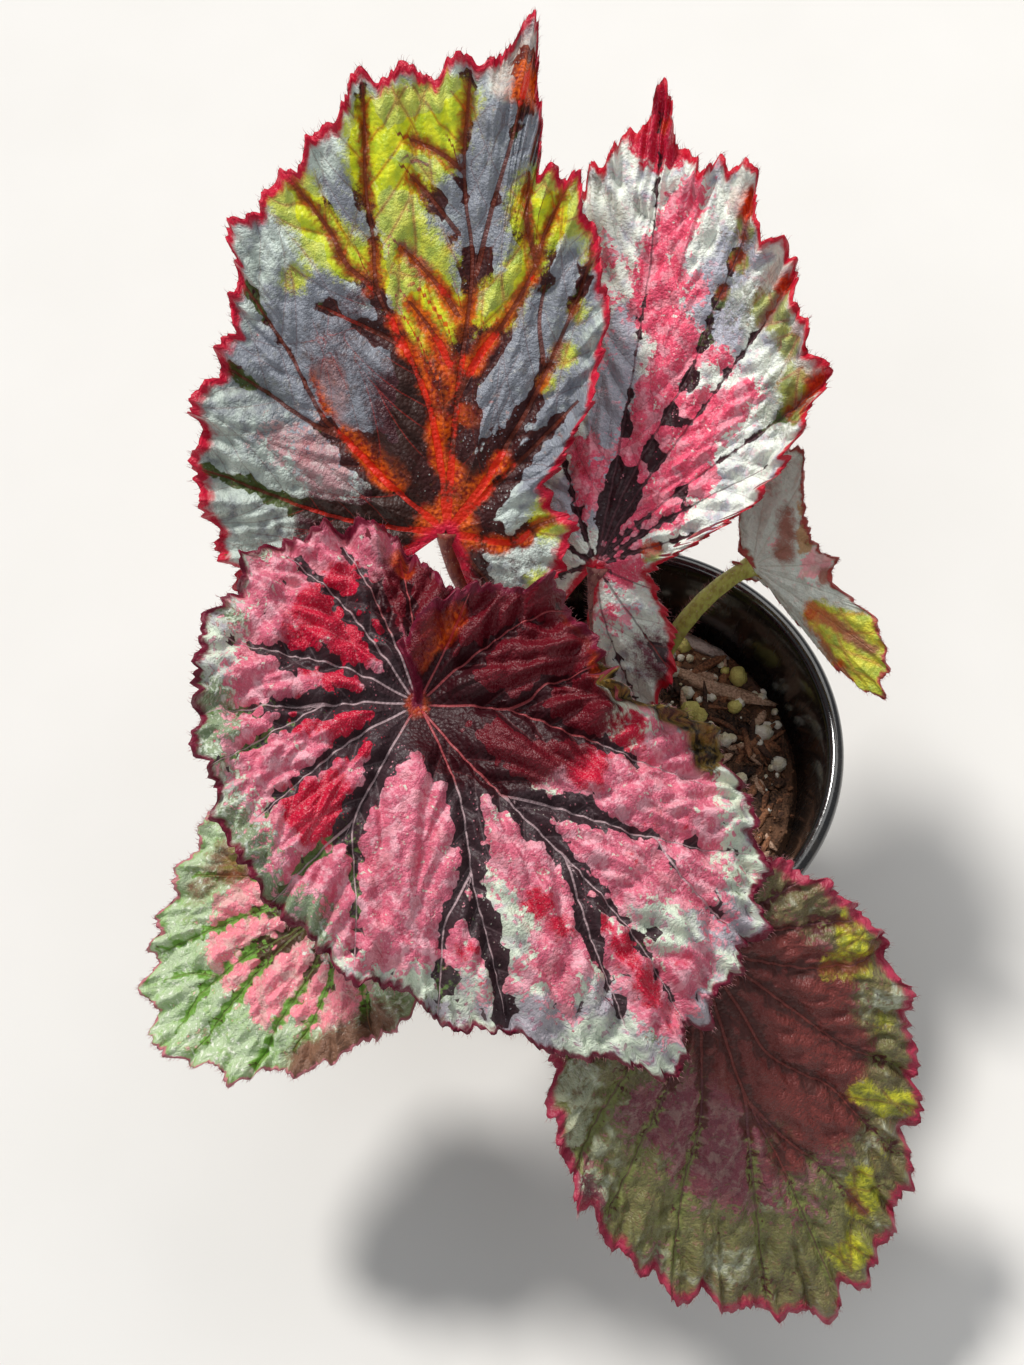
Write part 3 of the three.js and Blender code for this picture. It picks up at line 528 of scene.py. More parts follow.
leaves["leafPink"] = {
    "node": "leaf_pink", "slot": "leaf_pink", "seed": 14,
    "joint": (-8, 28, 138), "heading": 80, "pitch": 26, "roll": -8,
    "foot": (1, 9), "lead": (-1, -13, -19),
    "dome": -2, "pleat": 2, "ruffle": 1.2, "phase": 2.3, "lobe": 0.035, "tip": (12, 20),
    "rows": [
        (-191, 22, -26, 10), (-162, 37, -32, 0), (-142, 31, -30, 0), (-108, 15, -17, 0),
        (-82, 14, -7, 0), (-69, 27, -4, 0), (-60, 46, -2, 0), (-51, 58, 0, 2), (-42, 72, 0, 4),
        (-27, 83, 0, 5), (-12, 101, 0, 4), (-6, 98, 0, 0), (1, 96, 0, 0), (8, 97, 0, -2),
        (13, 89, 0, -4), (20, 68, -2, -2), (32, 44, -4, 0), (60, 25, -7, 0), (104, 19, -10, 0),
        (143, 16, -12, 0),
    ],
    "veins": [
        [(-2, 2), (-2, 15), (-2, 33), (-1.5, 58), (-1, 78), (0, 96), (1, 110)],
        [(-8, 3), (-12, 20), (-16, 40), (-17, 53), (-16, 65), (-15.7, 84), (-15, 96)],
        [(-16, 3), (-21, 20), (-25, 40), (-26, 60), (-26, 80)],
        [(-32, 6), (-38, 20), (-41, 36), (-43, 54), (-43, 70)],
        [(-44, 3), (-48, 15), (-50, 30), (-52, 48)],
        [(-62, 3), (-63, 15), (-64, 26)],
        [(30, 3), (28, 15), (27, 26), (26, 44)],
        [(70, 2), (65, 14), (62, 22)],
        [(110, 2), (108, 12), (106, 17)],
        [(-172, 3), (-166, 15), (-162, 28), (-161, 35)],
        [(-140, 3), (-140, 16), (-141, 28)],
        [(-110, 2), (-106, 10), (-104, 14)],
        [(-190, 3), (-188, 18)],
    ],
    "curls": [(-62, 9, 0.6, 5, 2), (-50, 8, 0.8, 4, 2), (-18, 4, 0.86, 5, 3), (-34, 5, 0.86, 5, 3)],
    "tints": {
        "pink": (0.0, [
            (-9.7, 24, 4, 1.3), (-9.8, 32, 5, 1.4), (-10.2, 41, 5.5, 1.4), (-12, 50, 5.5, 1.4),
            (-13.4, 57, 5, 1.3), (-27.7, 14, 4.5, 1.4), (-29, 21, 5.5, 1.4), (-29.5, 29, 6.5, 1.4),
            (-30, 38, 6, 1.3), (-26.5, 45, 5, 1.3), (-32.5, 49, 5, 1.2), (-33, 56, 4, 0.8),
            (-48, 22, 4.5, 1.1), (-45.6, 33, 4, 0.9), (-60, 6, 5, 1.3), (-2.4, 62, 4.5, 1.3),
            (-2.6, 70, 5.5, 1.4), (-3.5, 78, 5.5, 1.4), (-5, 87, 5.5, 1.3), (-8, 60, 4.5, 1.1),
            (-11, 70, 4.5, 0.9), (-23, 58, 3.5, 1.0), (8, 51, 5, 0.8), (8, 64, 5, 0.8),
            (6.6, 74, 4, 0.8), (15, 28, 5, 1.2), (14, 19, 5, 1.2), (-80, 7, 5, 0.9), (-155, 12, 6, 0.8),
            (-6, 94, 4, 0.7), (28, 12, 4, 0.6), (-22, 40, 3, 0.6), (9, 80, 4, 0.5),
        ]),
        "crimson": (0.0, [
            (-10, 33, 4, 0.5), (-30, 22, 5, 0.5), (-30, 33, 5, 0.4), (17, 24, 4, 0.6), (0, 112, 11, 1.3),
            (0, 103, 8, 1.0),
        ]),
        "wineAndShade": (0.0, [(-141, 26, 12, 0.7)]),
        "glow": (0.0, [
            (-16.5, 80, 3, 1.2), (-16, 72, 2.5, 1.0), (-15.5, 88, 3.5, 1.2), (-26, 74, 5.5, 1.3),
            (-40, 64, 5, 1.2), (-33, 70, 4, 1.0), (-68, 14, 3, 1.2), (-45, 60, 3.5, 0.8),
        ]),
        "backlitOrange": (0.0, [
            (-13.5, 93, 4.5, 1.3), (-25, 82, 4.5, 1.4), (-41, 71, 5.5, 1.4), (-34, 76, 4, 1.2),
            (0, 107, 3, 0.8), (-20, 88, 3.5, 1.1), (-52, 57, 3, 1.0), (-46, 63, 2.5, 0.9),
        ]),
        "green": (0.05, [
            (-19, 72, 7, 0.9), (-17, 60, 5, 0.5), (-38, 60, 8, 0.8), (-44, 56, 7, 0.6), (9, 92, 5, 0.7),
            (-14, 84, 5, 0.8), (-24, 66, 5, 0.4),
        ]),
        "bare": (0.0, [
            (-6, 14, 4, 0.8), (-5, 24, 2.5, 0.9), (-5, 34, 2.2, 0.8), (-6, 44, 1.6, 0.6),
            (-18, 20, 3.2, 1.0), (-19, 30, 2.6, 1.0), (-19, 40, 2.4, 1.0), (-19, 50, 2.6, 0.9),
            (-18, 60, 2, 0.8), (-43, 27, 2, 0.4), (-16, 70, 2, 0.6), (-15.5, 80, 2, 0.7),
            (-128, 24, 6, 0.4), (-43, 58, 2, 0.8), (-42, 66, 2, 0.6), (-24, 56, 1.6, 0.4),
            (12, 84, 1.6, 0.5), (-9, 90, 1.5, 0.5),
        ]),
        "grey": (0.0, [
            (3.5, 14, 4, 1.0), (4, 24, 4.5, 1.0), (3.5, 34, 4.5, 1.0), (2.5, 44, 4, 1.0),
            (2, 52, 3.5, 1.0), (28, 20, 3, 0.8), (-15, 70, 5, 0.8), (-16, 82, 5, 0.9), (-20, 64, 4, 0.6),
            (2, 60, 3, 0.8), (36, 16, 5, 0.7),
        ]),
        "full": (0.0, [
            (5, 30, 5, 0.6), (5, 48, 5, 0.6), (6, 70, 8, 0.5), (-150, 12, 8, 0.5), (-55, 36, 8, 0.4),
            (-10, 38, 3.5, 0.6), (-12, 50, 4, 0.7), (-29, 22, 4, 0.7), (-30, 34, 5, 0.8),
            (-10, 28, 2.5, 0.6), (-3, 74, 5, 0.6),
        ]),
        "dry": (0.0, []),
    },
    "look": {
        "ground": tone(52, 26, 32), "green": tone(84, 98, 56), "vein": tone(96, 56, 64),
        "pink": tone(236, 84, 116), "silver": tone(238, 244, 232), "silverToo": tone(178, 180, 192),
        "crimson": tone(200, 34, 66), "wineAndShade": tone(100, 34, 54), "glow": tone(164, 168, 40),
        "glowToo": tone(110, 120, 40), "backlitOrange": tone(206, 66, 22), "backlitOrangeToo": tone(150, 34, 24),
        "speckAndHighlight": tone(240, 200, 210), "margin": tone(196, 20, 46), "under": tone(136, 58, 66),
        "underVein": tone(184, 96, 92), "backlitAndShadedVein": tone(190, 60, 50), "islandTone": tone(226, 168, 180),
        "islands": 0.35, "moss": 0.5, "band": (0.5, -0.2), "sideBand": (-2.6, -1.8), "notch": 0.4,
        "wineAndShadeGround": tone(50, 24, 34), "veinLine": 0.6, "bareness": 4.5, "veinWidth": (0.28, 0.1),
        "sideLine": 0.25, "ragged": 1.6, "blur": 0.2, "rim": 2.6, "ruffle": 1.3, "tooth": 1.3,
        "crease": 2.1, "crumple": 1.0, "glitter": 0.35, "through": 0.85, "shine": 0.15,
    },
}
leaves["leafHanging"] = {
    "node": "leaf_hanging", "slot": "leaf_wine", "seed": 21,
    "joint": (15, -61, 116), "heading": -72, "pitch": -42, "roll": 0,
    "foot": (-5, -8), "lead": (-5, 18, 2),
    "dome": 4, "pleat": 2.2, "ruffle": 1.6, "phase": 0.2, "lobe": 0.04, "tip": (8, 4),
    "rows": [
        (-153, 12, -5, 0), (-104, 23, -4, 0), (-73, 40, -2, 0), (-56, 53, 0, 0), (-41, 68, 0, 0),
        (-28, 79, 0, 6), (-17, 91, 0, 6), (-6, 99, 0, 4), (5, 106, 0, 0), (14, 103, 0, -4),
        (25, 89, 0, -6), (39, 72, 0, 0), (57, 57, 0, 0), (76, 47, 0, 0), (98, 35, -1, 0),
        (126, 27, -3, 0), (147, 14, -5, 0),
    ],
    "veins": [
        [(2, 2), (3, 20), (3.5, 36), (5.5, 50), (7, 60), (7.6, 72), (8, 100)],
        [(20, 3), (19, 20), (18, 33), (24, 44), (27.5, 52), (27.4, 63), (28, 80)],
        [(5, 44), (10, 56), (13.9, 66), (16, 76), (17.4, 88)],
        [(44, 3), (42, 16), (39.7, 29), (39, 46), (41.3, 59), (43, 66)],
        [(64, 3), (61, 23), (65, 37), (68, 46)],
        [(92, 3), (86, 22), (82, 40)],
        [(114, 3), (110, 16), (108, 28)],
        [(-10, 3), (-11, 30), (-12.2, 46), (-15.9, 62), (-16.7, 84)],
        [(-24, 3), (-24, 30), (-29, 52), (-31, 72)],
        [(-44, 3), (-43.8, 28), (-43.8, 43), (-43, 62)],
        [(-68, 3), (-65, 25), (-64, 44)],
        [(-100, 3), (-95, 14), (-92, 24)],
        [(4, 40), (1, 57), (-1, 80), (-1.6, 98)],
        [(-140, 3), (-138, 12)],
    ],
    "curls": [(-42, 10, 0.8, 4, 2), (76, 14, 0.85, -3, 1)],
    "tints": {
        "pink": (0.15, [
            (-4, 44, 13, 1.0), (-8, 56, 11, 1.0), (2, 66, 8, 0.7), (-30, 42, 8, 1.0), (16, 66, 7, 0.7),
            (38, 48, 7, 0.7), (55, 36, 8, 0.6), (-36, 70, 7, 0.8), (-44, 62, 6, 0.7), (8, 78, 6, 0.5),
            (-20, 82, 6, 0.4), (0, 30, 10, 0.6), (70, 26, 8, 0.6),
        ]),
        "crimson": (0.0, [(-8, 40, 10, 0.3), (20, 50, 10, 0.3)]),
        "wineAndShade": (0.0, [
            (14, 30, 13, 1.0), (20, 44, 11, 1.0), (34, 30, 13, 1.0), (23, 60, 9, 0.9), (50, 22, 12, 0.9),
            (72, 16, 9, 0.7), (8, 62, 8, 0.7), (5, 16, 12, 0.9), (38, 48, 9, 0.8), (60, 34, 7, 0.6),
        ]),
        "glow": (0.0, [
            (18, 84, 5, 1.2), (20, 77, 4, 1.0), (34, 67, 4.5, 1.2), (32, 58, 4, 1.1), (37, 72, 3.5, 0.9),
            (68, 40, 5, 1.2), (64, 32, 4, 0.7), (79, 37, 4, 1.2), (12, 95, 6.5, 1.0), (86, 39, 3.5, 1.1),
            (50, 52, 4.5, 0.6), (27, 76, 4, 0.5),
        ]),
        "backlitOrange": (0.0, [
            (27, 56, 5, 0.5), (24, 66, 3, 0.5), (20, 73, 3, 0.4), (84, 42, 3.5, 1.0), (60, 26, 5, 0.3),
            (72, 44, 3, 0.8), (90, 40, 3, 0.9), (60, 48, 2.5, 0.6), (35, 72, 2.5, 0.6),
        ]),
        "green": (0.45, [
            (-20, 70, 22, 0.6), (10, 84, 22, 0.6), (50, 50, 18, 0.4), (-50, 50, 16, 0.7),
            (15, 36, 14, -0.6), (40, 26, 12, -0.5),
        ]),
        "bare": (0.0, [(5, 20, 10, 0.3), (50, 24, 8, 0.2), (20, 48, 4, 0.3)]),
        "grey": (0.5, [
            (-6, 86, 12, -0.25), (24, 72, 8, -0.2), (-48, 58, 12, -0.6), (-40, 70, 9, -0.6),
            (-60, 42, 10, -0.5), (58, 52, 6, -0.5), (-20, 84, 6, -0.4),
        ]),
        "dry": (0.0, []),
    },
    "look": {
        "ground": tone(88, 44, 38), "green": tone(124, 128, 72), "vein": tone(104, 60, 68),
        "pink": tone(128, 66, 76), "silver": tone(198, 202, 180), "silverToo": tone(114, 104, 70),
        "crimson": tone(140, 40, 60), "wineAndShade": tone(116, 54, 50), "glow": tone(226, 222, 50),
        "glowToo": tone(120, 126, 44), "backlitOrange": tone(150, 70, 40), "backlitOrangeToo": tone(110, 44, 30),
        "speckAndHighlight": tone(160, 140, 126), "margin": tone(164, 46, 72), "under": tone(120, 62, 56),
        "underVein": tone(170, 98, 80), "backlitAndShadedVein": tone(150, 70, 60), "islandTone": tone(122, 72, 66),
        "islands": 0.65, "moss": 0.45, "band": (0.7, 0.5), "sideBand": (-1.8, -0.6), "notch": 0.8,
        "wineAndShadeGround": tone(84, 44, 40), "veinLine": 0.6, "bareness": 6, "veinWidth": (0.4, 0.14),
        "sideLine": 0.2, "ragged": 2.0, "blur": 0.5, "rim": 3.4, "ruffle": 1.0, "tooth": 1.2,
        "crease": 1.3, "crumple": 0.9, "glitter": 0.3, "through": 0.85, "shine": 0.1,
    },
}
leaves["leafLow"] = {
    "node": "leaf_low", "slot": "leaf_green", "seed": 27,
    "joint": (-65, -42, 108), "heading": -130, "pitch": -22, "roll": 0,
    "foot": (-24, -11), "lead": (15, 18, -4),
    "dome": 4, "pleat": 2.4, "ruffle": 1.6, "phase": 0.9, "lobe": 0.05, "tip": (4, 0),
    "rows": [
        (-106, 24, -4, 0), (-76, 42, -2, 0), (-56, 46, 0, 0), (-40, 53, 0, 0), (-27, 60, 0, 5),
        (-12, 65, 0, 0), (5, 57, 0, -4), (24, 47, 0, 0), (52, 37, 0, 0), (81, 34, -1, 0),
        (112, 23, -3, 0), (156, 12, -5, 0),
    ],
    "veins": [
        [(-10, 2), (-15, 20), (-18.8, 34), (-17.7, 48), (-14, 58)],
        [(9, 3), (10, 28), (8.2, 40), (8.5, 52)],
        [(-12, 16), (-11, 31), (-8.5, 46), (-6.7, 60)],
        [(-17.8, 42), (-24, 48), (-26, 55)],
        [(-34, 3), (-35, 30), (-34, 43), (-33, 54)],
        [(-54, 3), (-54, 28), (-54, 42)],
        [(-76, 3), (-74, 20), (-73, 38)],
        [(24, 3), (21.6, 29), (16.8, 44)],
        [(40, 3), (40, 22), (42, 36)],
        [(64, 3), (66, 20), (68, 32)],
        [(92, 3), (94, 16), (95, 27)],
        [(124, 2), (124, 18)],
    ],
    "curls": [(-2, 12, 0.85, 3, 1)],
    "tints": {
        "pink": (0.08, [
            (-3.5, 33, 7, 1.2), (-4, 25, 6, 1.0), (-31, 31, 9, 0.9), (-24, 38, 5, 0.7),
            (-14, 40, 3, 0.9), (14, 34, 4, 0.7), (31, 26, 9, 1.0), (24, 32, 6, 0.7), (-42, 24, 9, 0.9),
            (2, 39, 4, 0.7), (20, 48, 5, 0.4), (-62, 24, 5, 0.5), (-9, 56, 4, 0.3), (14, 56, 5, 0.4),
        ]),
        "crimson": (0.0, [(0, 24, 8, 0.3)]),
        "wineAndShade": (0.0, [
            (-58, 34, 8, 0.6), (-66, 28, 8, 0.5), (28, 46, 6, 0.6), (-48, 42, 5, 0.5), (34, 42, 9, 0.9),
            (20, 47, 6, 0.7), (50, 34, 8, 0.7),
        ]),
        "glow": (0.0, [(-56, 33, 5, 0.7), (-66, 30, 4, 0.6), (-40, 44, 4, 0.4)]),
        "backlitOrange": (0.0, []),
        "green": (0.9, [
            (-20, 22, 12, -0.5), (-2, 20, 10, -0.4), (-30, 46, 12, 0.5), (-52, 36, 12, 0.6),
            (10, 42, 8, 0.4),
        ]),
        "bare": (0.0, [(-22, 16, 8, 0.4), (-20, 30, 3, 0.4)]),
        "dry": (0.0, []),
    },
    "look": {
        "ground": tone(78, 56, 36), "green": tone(112, 160, 62), "vein": tone(110, 122, 64),
        "pink": tone(252, 142, 158), "silver": tone(252, 254, 240), "silverToo": tone(216, 238, 190),
        "crimson": tone(196, 60, 84), "wineAndShade": tone(132, 96, 76), "glow": tone(150, 160, 60),
        "glowToo": tone(120, 130, 50), "backlitOrange": tone(170, 80, 44), "backlitOrangeToo": tone(120, 50, 36),
        "speckAndHighlight": tone(220, 224, 206), "margin": tone(196, 116, 126), "under": tone(130, 86, 72),
        "underVein": tone(174, 116, 92), "backlitAndShadedVein": tone(150, 90, 60), "islandTone": tone(176, 210, 138),
        "islands": 0.6, "moss": 0.6, "band": (0.35, 0.25), "sideBand": (-2.6, -1.6), "notch": 0.8,
        "wineAndShadeGround": tone(76, 52, 38), "veinLine": 0.6, "bareness": 6, "veinWidth": (0.3, 0.12),
        "sideLine": 0.2, "ragged": 1.8, "blur": 0.35, "rim": 1.0, "ruffle": 1.0, "tooth": 1.0,
        "crease": 1.7, "crumple": 0.8, "glitter": 0.45, "through": 0.6, "shine": 0.1,
    },
}
leaves["leafYoung"] = {
    "node": "leaf_young", "slot": "leaf_green", "seed": 33,
    "joint": (32, 36, 122), "heading": -42, "pitch": -12, "roll": 50,
    "foot": (6, 17), "lead": (-16, -1, -16),
    "dome": 0, "pleat": 0.8, "ruffle": 0.7, "phase": 0.9, "lobe": 0.05, "tip": (6, 2),
    "rows": [
        (-150, 5, -2, 0), (-100, 5, -3, 0), (-55, 5, -4, 0), (-28, 7, -4, 2), (-15, 11, -3, 10),
        (-8, 36, -1, 22), (-2, 44, 0, 14), (9, 41, 0, 4), (21, 34, 0, 0), (31, 22, 0, 0), (48, 22, 0, 0),
        (70, 18, 0, 0), (96, 24, 0, 0), (110, 34, 0, 0), (136, 17, 0, 0), (160, 5, 0, 0),
    ],
    "veins": [
        [(-6, 2), (-7, 20), (-8, 38)],
        [(10, 2), (9, 20), (9, 37)],
        [(28, 2), (26, 16), (25, 30)],
        [(48, 2), (46, 20)],
        [(72, 2), (73, 18)],
        [(100, 2), (101, 28)],
        [(122, 2), (120, 22)],
        [(-40, 2), (-42, 14)],
    ],
    "curls": [(44, 12, 0.5, -4, 1)],
    "tints": {
        "pink": (0.0, [(44, 16, 4, 1.3), (52, 18, 3, 1.2), (88, 9, 3, 0.7), (110, 26, 4, 0.4)]),
        "crimson": (0.0, [(63, 15, 2.5, 1.0), (76, 17, 2.5, 1.1), (90, 21, 2.5, 1.1)]),
        "wineAndShade": (0.0, [
            (70, 8, 3, 0.6), (84, 13, 3.5, 0.65), (36, 19, 3, 0.8), (60, 11, 3, 0.5), (98, 17, 4, 0.65),
            (118, 22, 4, 0.5),
        ]),
        "glow": (0.0, [
            (2, 36, 7, 1.5), (6, 28, 6, 1.5), (11, 33, 5, 1.3), (-4, 40, 5, 1.3), (8, 20, 4, 1.1),
            (14, 36, 4, 1.0),
        ]),
        "backlitOrange": (0.0, [
            (-5, 33, 2, 0.8), (4, 19, 2.2, 0.9), (-8, 38, 2, 0.9), (14, 38, 2, 0.8), (3, 43, 2, 0.6),
            (1, 26, 1.5, 0.6),
        ]),
        "green": (0.3, []),
        "bare": (0.0, []),
        "dry": (0.0, []),
    },
    "look": {
        "ground": tone(120, 92, 60), "green": tone(126, 140, 66), "vein": tone(170, 140, 96),
        "pink": tone(252, 176, 180), "silver": tone(224, 230, 218), "silverToo": tone(196, 198, 184),
        "crimson": tone(196, 156, 112), "wineAndShade": tone(164, 112, 96), "glow": tone(222, 214, 46),
        "glowToo": tone(156, 172, 48), "backlitOrange": tone(206, 116, 36), "backlitOrangeToo": tone(186, 78, 40),
        "speckAndHighlight": tone(230, 220, 210), "margin": tone(168, 70, 62), "under": tone(150, 140, 70),
        "underVein": tone(180, 150, 90), "backlitAndShadedVein": tone(176, 110, 60),
        "islandTone": tone(214, 190, 180), "islands": 0.3, "moss": 0.3, "band": (-3.0, -3.0),
        "sideBand": (-3.0, -3.0), "notch": 0.0, "wineAndShadeGround": tone(120, 80, 66), "veinLine": 0.12,
        "bareness": 4, "veinWidth": (0.25, 0.1), "sideLine": 0.06, "ragged": 1.2, "blur": 0.4,
        "rim": 1.3, "ruffle": 0.5, "tooth": 0.8, "crease": 0.6, "crumple": 0.3, "glitter": 0.3,
        "through": 0.95, "shine": 0.22,
    },
}


def along(rows, column, place):        # smooth curve through one column of the rows
    values = np.array([row[column] for row in rows], float)
    slopes = np.gradient(values)
    index = np.clip(np.floor(place).astype(int), 0, len(values) - 2)
    return eased(place - index, values[index], values[index + 1], slopes[index], slopes[index + 1])


def leafFrame(leaf):        # turns the leaf's own axes into the row frame's
    heading, pitch, roll = (math.radians(leaf[turn]) for turn in ("heading", "pitch", "roll"))
    return spin(0, 1, heading) @ spin(0, 2, pitch) @ spin(1, 2, roll)


def bladeShape(leaf, place, share):        # angle in degrees, reach and height in mm, close to the solid
    rows = leaf["rows"]
    waveTurn = 2 * np.pi * place
    between = np.sin(np.pi * place) ** 2
    tipVein, tipLength = leaf["tip"]
    point = np.maximum(0, 1 - np.abs(place - tipVein)) ** blade["tipPower"]
    spacing = along(rows, 0, place + 0.5) - along(rows, 0, place - 0.5)
    wide = np.clip(spacing / blade["wideGap"], 0, 1)
    bay = leaf["lobe"] * between * share**3 * wide
    ripple = blade["rippleDepth"] * share**4 * np.sin(blade["ripplesPerVein"] * waveTurn + leaf["phase"])
    reach = (along(rows, 1, place) + tipLength * point * share**2) * share * (1 - bay + ripple)
    angle = along(rows, 0, place) + along(rows, 3, place) * (1 - share) ** 2
    height = (along(rows, 2, place) * share ** blade["droopPower"] + leaf["dome"] * 2 * share * (1 - share)
              + leaf["ruffle"] * wide * share**4 * np.sin(waveTurn + leaf["phase"]))
    return angle, reach, height


def polar(angle, reach):
    turn = np.radians(angle)
    return np.stack([reach * np.cos(turn), reach * np.sin(turn)], -1)


def curve(points, step=1.5):        # a smooth line through a vein's points, as flat places in mm
    corners = polar(*np.array(points, float).T)
    pairs = zip(corners[:-1], corners[1:])
    counts = [max(2, int(np.linalg.norm(end - start) / step)) for start, end in pairs]
    return smoothLine(corners, counts)


def farFrom(flat, angle, line, middleAngle, limit):        # how far from a line, how far along, which side
    far = np.full(flat.shape[:-1], limit)
    run = np.zeros(flat.shape[:-1])
    hand = np.ones(flat.shape[:-1])
    low, high = line.min(0) - limit, line.max(0) + limit
    near = np.all((flat > low) & (flat < high), -1) & (np.abs(angle - middleAngle) < 150)
    points = flat[near]
    best = np.full(len(points), limit)
    where = np.zeros(len(points))
    turned = np.ones(len(points))
    for i, (start, end) in enumerate(zip(line[:-1], line[1:])):
        side = end - start
        f = np.clip((points - start) @ side / max(side @ side, 1e-9), 0, 1)
        off = points - start - f[:, None] * side
        gap = np.linalg.norm(off, axis=1)
        closer = gap < best
        best = np.where(closer, gap, best)
        where = np.where(closer, (i + f) / (len(line) - 1), where)
        turned = np.where(closer, np.sign(side[0] * off[:, 1] - side[1] * off[:, 0]), turned)
    far[near] = best
    run[near] = where
    hand[near] = turned
    return far, run, hand


def sideVeins(leaf, lines, draw):        # branches that leave the main veins on alternate sides
    angles = np.array([row[0] for row in leaf["rows"]], float)
    lengths = np.array([row[1] for row in leaf["rows"]], float)
    branches = []
    for own, (line, middle) in enumerate(lines):
        steps = np.linalg.norm(np.diff(line, axis=0), axis=1)
        run = np.concatenate([[0], np.cumsum(steps)])
        at, side = 9 + draw.uniform(0, 3), draw.choice((-1, 1))
        while at < run[-1] - 3:
            i = min(np.searchsorted(run, at), len(line) - 2)
            heading = math.atan2(*(line[i + 1] - line[i])[::-1]) + side * math.radians(draw.uniform(38, 52))
            place = line[i].copy()
            branch = [place.copy()]
            for stepCount in range(16):
                place = place + 1.6 * np.array([math.cos(heading), math.sin(heading)])
                heading -= side * math.radians(1.6)
                turn = math.degrees(math.atan2(place[1], place[0]))
                turn += 360 * round((middle - turn) / 360)
                if np.hypot(*place) > 0.97 * np.interp(turn, angles, lengths):
                    break
                others = [np.min(np.linalg.norm(other - place, axis=1)) for j, (other, otherMiddle)
                          in enumerate(lines) if j != own and abs(otherMiddle - middle) < 90]
                branch.append(place.copy())
                if stepCount > 2 and min(others) < 1.6:
                    break
            if len(branch) > 3:
                branches.append((np.array(branch), middle))
            at += draw.uniform(3.2, 5.2)
            side = -side
    return branches


def tinted(leaf, name, flat, angle):        # a base amount with soft dabs on it
    base, dabs = leaf["tints"][name]
    total = np.full(flat.shape[:-1], float(base))
    for dabAngle, distance, radius, amount in dabs:
        centre = polar(dabAngle, distance)
        gap = np.sum((flat - centre) ** 2, -1) / radius**2
        total += amount * np.exp(-gap) * (np.abs(angle - dabAngle) < 150 if distance > 3 else 1)
    return np.clip(total, 0, 1)


def marginPlaces(leaf, count):        # places evenly spaced along the margin, and how far along it each is
    fine = np.linspace(0, len(leaf["rows"]) - 1, 4000)
    angle, reach, height = bladeShape(leaf, fine, np.ones_like(fine))
    points = np.concatenate([polar(angle, reach), height[:, None]], 1)
    run = np.concatenate([[0], np.cumsum(np.linalg.norm(np.diff(points, axis=0), axis=1))])
    evenly = np.linspace(0, run[-1], count)
    return np.interp(evenly, run, fine), evenly


def surfaceNormals(points):
    outward = np.gradient(points, axis=1)
    across = np.gradient(points, axis=0)
    normal = np.cross(outward, across)
    return normal / np.maximum(np.linalg.norm(normal, axis=-1, keepdims=True), 1e-9)


def nearest(flat, angle, lines, limit):
    far = np.full(flat.shape[:-1], limit)
    run = np.zeros(flat.shape[:-1])
    hand = np.ones(flat.shape[:-1])
    for line, middle in lines:
        newFar, newRun, newHand = farFrom(flat, angle, line, middle, limit)
        run = np.where(newFar < far, newRun, run)
        hand = np.where(newFar < far, newHand, hand)
        far = np.minimum(far, newFar)
    return far, run, hand


